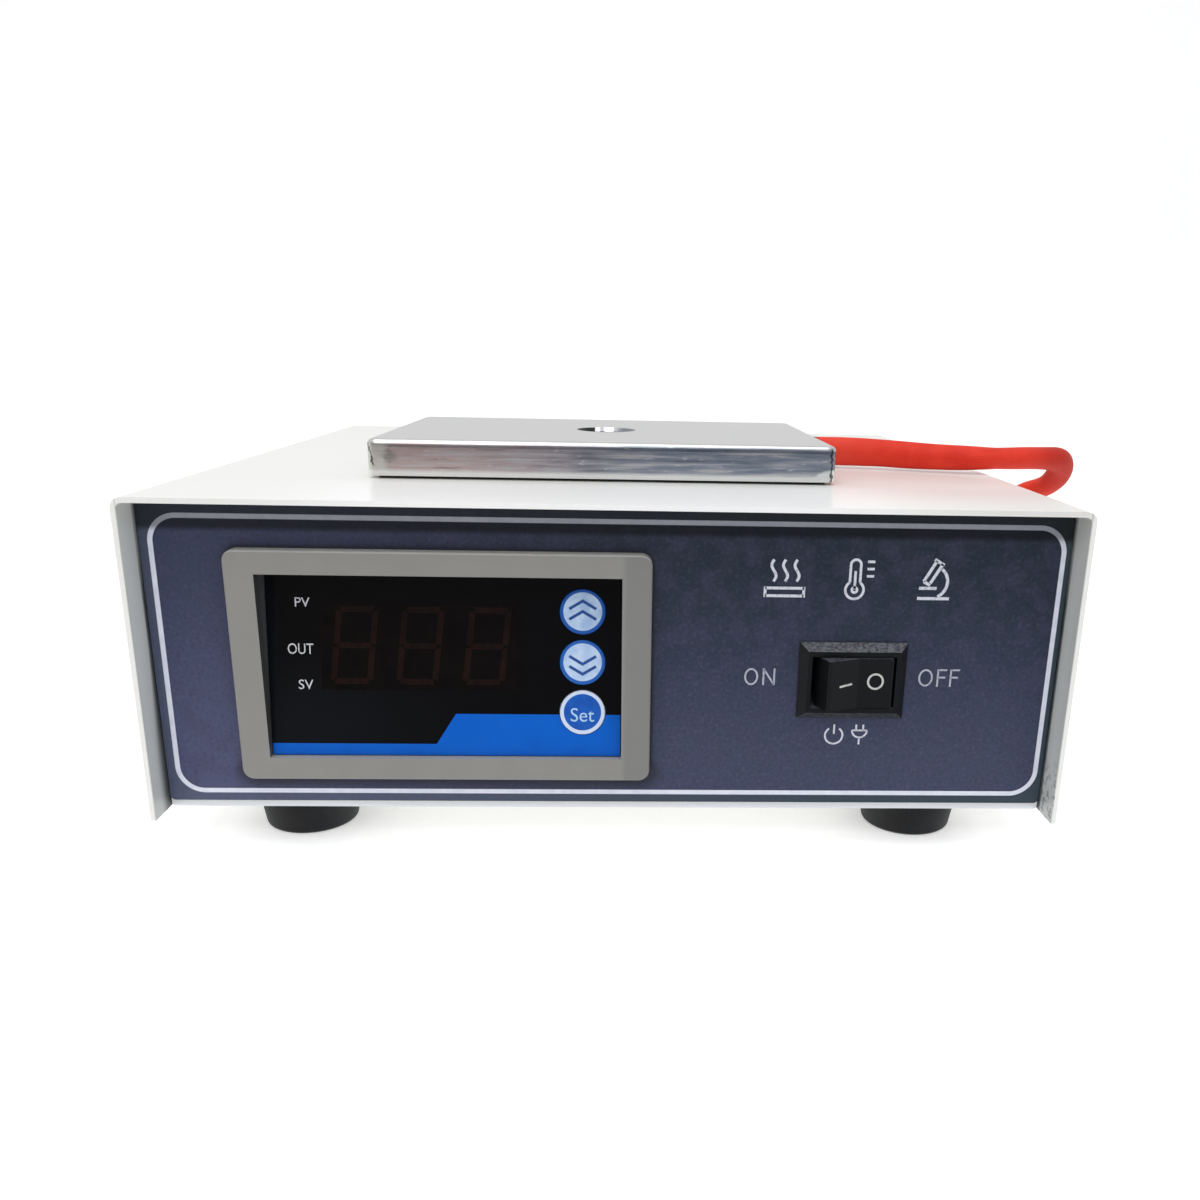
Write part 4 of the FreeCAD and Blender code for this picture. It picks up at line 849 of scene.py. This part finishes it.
white_ink = print_material("white_ink", "#AEB2C0", "#D6DAE4")
grey_ink = print_material("grey_ink", "#8F93A3", "#B4B8C6")
warm_plate = [[(28.9, 53.2), (36.3, 53.2)], [(28.9, 54.7), (36.3, 54.7)],
              [(28.9, 52.9), (28.9, 55.0)], [(36.3, 52.9), (36.3, 55.0)]]
warm_plate += [wave_line(x, 56.0, 4.2, 0.45) for x in (30.4, 32.6, 34.8)]
thermometer = [
    ring(46.0, 54.5, 1.75, 124, 416, 30), [(45.02, 56.0), (45.02, 59.4)], [(46.98, 56.0), (46.98, 59.4)],
    ring(46.0, 59.4, 0.98, 0, 180, 12), [(46.0, 54.6), (46.0, 58.2)],
    [(48.2, 57.2), (49.6, 57.2)], [(48.2, 58.6), (49.6, 58.6)], [(48.2, 60.0), (49.6, 60.0)],
    ring(46.0, 54.5, 0.5, 0, 360, 16),
]
microscope = [
    [(58.2, 53.0), (64.4, 53.0)], ring(60.6, 56.2, 3.2, -62, 52, 18), [(58.4, 55.0), (61.8, 55.0)],
    [(59.2, 56.3), (61.4, 60.3)], [(60.5, 56.0), (62.6, 59.7)], [(59.2, 56.3), (60.5, 55.6)],
    [(61.0, 60.6), (62.9, 59.5)],
]
print_on_panel("sign_warm_plate", strokes(warm_plate, 0.55), white_ink)
print_on_panel("sign_thermometer", strokes(thermometer, 0.5), white_ink)
print_on_panel("sign_microscope", strokes(microscope, 0.6), white_ink)
word_on = [oval(27.0, 37.0, 1.18, 1.55), [(29.4, 35.3), (29.4, 38.7)], [(29.45, 38.5), (31.45, 35.5)],
           [(31.5, 35.3), (31.5, 38.7)]]
word_off = [oval(61.35, 37.05, 1.25, 1.6)]
for left in (63.75, 66.3):
    word_off += [[(left, 35.25), (left, 38.85)], [(left, 38.67), (left + 1.75, 38.67)],
                 [(left, 37.15), (left + 1.5, 37.15)]]
print_on_panel("sign_on", strokes(word_on, 0.36), grey_ink)
print_on_panel("sign_off", strokes(word_off, 0.36), grey_ink)
power_sign = [ring(44.0, 24.9, 1.75, 125, 415, 28), [(44.0, 25.2), (44.0, 27.2)]]
plug_sign = [
    [(47.6, 26.0), (50.6, 26.0)], ring(49.1, 26.0, 1.5, 180, 360, 16), [(49.1, 24.5), (49.1, 23.0)],
    [(48.4, 26.0), (48.4, 27.2)], [(49.8, 26.0), (49.8, 27.2)],
]
print_on_panel("sign_power", strokes(power_sign, 0.38), white_ink)
print_on_panel("sign_plug", strokes(plug_sign, 0.36), white_ink)
print("panel signs ready")

# %% [markdown]
# ## Prints on the controller
# The face leans back, so its prints are drawn in its own plane. The unlit digits are faint
# brown segments behind the film, and each key carries its own sign and moves with it.

# %% Digits and labels of the controller
rise_way = (0, math.sin(lean), math.cos(lean))


def on_face(points, lift=0.02):
    origin = np.array([0, -78.2, window_low[1]]) + lift * np.array([0, -math.cos(lean), math.sin(lean)])
    flat = np.array(points, float)
    flat[:, 1] = (flat[:, 1] - window_low[1]) / math.cos(lean)
    return on_plane(flat, origin, (1, 0, 0), rise_way)


def segments(x, y, width, height, slant=0.11):
    middle = height / 2
    gap = 0.28
    lines = []
    for level in (0, middle, height):
        lines.append([(gap, level), (width - gap, level)])
    for side in (0, width):
        lines.append([(side, gap), (side, middle - gap)])
        lines.append([(side, middle + gap), (side, height - gap)])
    return [[(x + px + py * slant, y + py) for px, py in one] for one in lines]


label_ink = print_material("label_ink", "#A9ACB2", "#D5D7DA")
ghost_ink = plain("unlit_segment", "#160C0A", "#1F110D", 1.0, 0.002, 0.2)
ghost_back = plain("display_window", "#070404", "#0B0706", 3.0, 0.002, 0.2)
for ink in (ghost_ink, ghost_back):
    ink.node_tree.nodes["Principled BSDF"].inputs["Specular IOR Level"].default_value = 0.14
panes, digits = [[(-56.0, 41.9), (-17.3, 41.9)]], []
for left in (-53.7, -41.2, -28.4):
    digits += segments(left, 35.1, 6.9, 13.9)
points, faces = strokes(panes, 17.0)
make_piece("display_pane", on_face(points, 0.01), faces, ghost_back)
points, faces = strokes(digits, 1.15)
make_piece("unlit_digits", on_face(points, 0.02), faces, ghost_ink)
for word, width, height, x, y in (("PV", 2.8, 1.8, -59.1, 50.2), ("OUT", 4.85, 2.05, -59.75, 41.3),
                                  ("SV", 2.8, 1.85, -59.0, 34.4)):
    points, faces = letters(word, width, height, x, y)
    make_piece("label_" + word, on_face(points), faces, label_ink)
print("digits and labels ready")

# %% Signs on the keys
chevron_ink = print_material("chevron_ink", "#11418F", "#1A4F9E")
set_ink = print_material("set_ink", "#8DBBE8", "#B4D6F5")
key_lift = 0.225
chevron_half = 2.6
chevron_drop = 1.55
chevron_keys = (("key_up", "up_key", 1, (2.3, 0.3)), ("key_down", "down_key", -1, (2.05, 0.1)))
for key, body, turn, tops in chevron_keys:
    across, _, rise = middle_of(key)
    chevrons = []
    for top in tops:
        foot = rise + turn * (top - chevron_drop)
        chevrons.append([(across - chevron_half, foot), (across, rise + turn * top),
                         (across + chevron_half, foot)])
    points, faces = strokes(chevrons, 0.56)
    make_piece("sign_" + key, on_face(points, key_lift), faces, chevron_ink, body)
across, _, rise = middle_of("key_set")
points, faces = letters("Set", 4.6, 2.7, across, rise - 0.25)
make_piece("sign_key_set", on_face(points, key_lift), faces, set_ink, "set_key")
print("key signs ready")

# %% Signs on the rocker
rocker_pivot = np.array([46.7, -74.9, 36.5])
rocker_turn = math.radians(11.5)


def on_rocker(points, lift=0.03):
    flat = np.asarray(points, float)
    front = -(4.7 + np.abs(flat[:, 0]) * 1.3 / 6.7) - lift
    spun_x = flat[:, 0] * math.cos(rocker_turn) - front * math.sin(rocker_turn)
    spun_y = flat[:, 0] * math.sin(rocker_turn) + front * math.cos(rocker_turn)
    return (np.column_stack([spun_x, spun_y, flat[:, 1]]) + rocker_pivot) * mm


mark_ink = print_material("mark_ink", "#A8A8A4", "#C9C9C4")
points, faces = strokes([[(-4.25, -0.2), (-1.5, 0.12)]], 0.42)
make_piece("mark_on", on_rocker(points), faces, mark_ink, "rocker")
points, faces = strokes([oval(3.2, 0.45, 1.42, 1.48)], 0.4)
make_piece("mark_off", on_rocker(points), faces, mark_ink, "rocker")
print("rocker signs ready")

# %% [markdown]
# ## Materials onto the solid parts
# One table names the parts of each material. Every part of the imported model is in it.

# %% Materials onto parts
uses = {
    white_paint: ["cover", "base"],
    panel_film: ["front_overlay"],
    zinc_steel: ["cover_screws", "foot_screws", "controller_terminal_screws", "inlet_screws", "inlet_nuts",
                 "transformer_screws", "terminal_block_screws", "m4_nuts", "stage_screws"],
    foot_rubber: ["foot_front_left", "foot_front_right", "foot_rear_left", "foot_rear_right"],
    frame_plastic: ["controller_frame"],
    face_film: ["controller_face"],
    up_film: ["key_up"],
    down_film: ["key_down"],
    set_film: ["key_set"],
    housing_plastic: ["controller_housing"],
    black_plastic: ["key_switches", "controller_terminals", "controller_clips", "inlet_body",
                    "fuse_holder", "fuse_cap", "fuse_nut", "rear_bushing", "stage_bushing", "lead_tie"],
    dark_lens: ["controller_display"],
    green_board: ["display_board", "main_board"],
    relay_plastic: ["controller_relay"],
    supply_tape: ["controller_supply"],
    drawn_aluminium: ["controller_capacitor"],
    switch_plastic: ["switch_body", "switch_rocker"],
    plated_brass: ["switch_blades", "inlet_pins", "terminal_block_clamps", "earth_screw", "stage_posts"],
    core_steel: ["transformer_core"],
    ivory_plastic: ["transformer_bobbin", "terminal_block"],
    copper_wire: ["transformer_winding"],
    strap_steel: ["transformer_strap", "stage_sensor"],
    satin_aluminium: ["stage_cover"],
    gap_shade_board: ["stage_base"],
    polished_aluminium: ["light_tube"],
    heater_mat: ["stage_heater"],
    felt: ["stage_insulation"],
    red_sleeve: ["lead_run", "lead_coil", "lead_tail"],
}
finished = 0
for material, names in uses.items():
    for name in names:
        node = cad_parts[name]
        for slot in node.material_slots:
            slot.material = material
        finished += 1
print(finished, "of", len(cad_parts), "parts have their material")

# %% [markdown]
# ## Floor and light
# A pale sweep stands for floor and wall. The room is bright from above and dark in front,
# because the black face and the plate's front mirror that side.

# %% Sweep
def sweep_piece():
    width, front, back, bend, height = 1.6, -0.33, 0.9, 0.5, 1.4
    angles = np.linspace(-math.pi / 2, 0, 17)
    bent = np.column_stack([back + bend * np.cos(angles), bend + bend * np.sin(angles)])
    profile = np.vstack([[(front, 0.0)], bent, [(back + bend, height)]])
    count = len(profile)
    left = np.column_stack([np.full(count, -width), profile])
    right_side = np.column_stack([np.full(count, width), profile])
    faces = [(i, i + 1, count + i + 1, count + i) for i in range(count - 1)]
    mesh = bpy.data.meshes.new("sweep")
    mesh.from_pydata(np.vstack([left, right_side]).tolist(), [], faces)
    mesh.polygons.foreach_set("use_smooth", [True] * len(mesh.polygons))
    material, tree, shader, place = start("pale_sweep", Roughness=0.9, Specular_IOR_Level=0.1)
    grain = noise(tree, place, 3.0)
    feed(tree, shader, Base_Color=mix(tree, grain, colour("#F8F8F8"), colour("#FBFBFB")))
    shader.inputs["Emission Color"].default_value = (1, 1, 1, 1)
    shader.inputs["Emission Strength"].default_value = 0.35
    mesh.materials.append(material)
    sweep = bpy.data.objects.new("sweep", mesh)
    bpy.context.scene.collection.objects.link(sweep)
    sweep.visible_glossy = False
    return sweep


sweep = sweep_piece()
print("sweep ready")

# %% World and lamps
world = bpy.data.worlds.new("room")
bpy.context.scene.world = world
world.use_nodes = True
tree = world.node_tree
tree.nodes.clear()
direction = add(tree, "ShaderNodeTexCoord").outputs["Generated"]
x, y, z = axes(tree, direction)
ahead = ramp(tree, y, 0.0, -0.6)
low_down = ramp(tree, z, 0.75, 0.2)
dark_share = times(tree, ahead, low_down)
tone = mix(tree, ramp(tree, x, -0.4, 0.4), (0.34, 0.30, 0.31, 1), (0.27, 0.30, 0.34, 1))
sky = mix(tree, ramp(tree, z, 0.1, 0.8), (0.85, 0.86, 0.86, 1), (0.62, 0.63, 0.64, 1))
background = add(tree, "ShaderNodeBackground", None, {0: mix(tree, dark_share, sky, tone), 1: 1.0})
add(tree, "ShaderNodeOutputWorld", None, {0: background.outputs[0]})


def lamp(name, place, aim, size, power):
    data = bpy.data.lights.new(name, "AREA")
    data.shape = "RECTANGLE"
    data.size, data.size_y = size
    data.energy = power
    lamp_object = bpy.data.objects.new(name, data)
    way = Vector(aim) - Vector(place)
    lamp_object.matrix_world = Matrix.Translation(place) @ way.to_track_quat("-Z", "Y").to_matrix().to_4x4()
    bpy.context.scene.collection.objects.link(lamp_object)
    return lamp_object


lamp("overhead", (-0.05, -0.2, 0.9), (0, 0, 0), (0.8, 0.6), 3.2)
lamp("front_high", (-0.2, -0.8, 0.75), (0, 0, 0.04), (0.5, 0.25), 1.4)
bpy.context.scene.view_settings.view_transform = "Standard"
bpy.context.scene.view_settings.look = "None"
print("light ready")
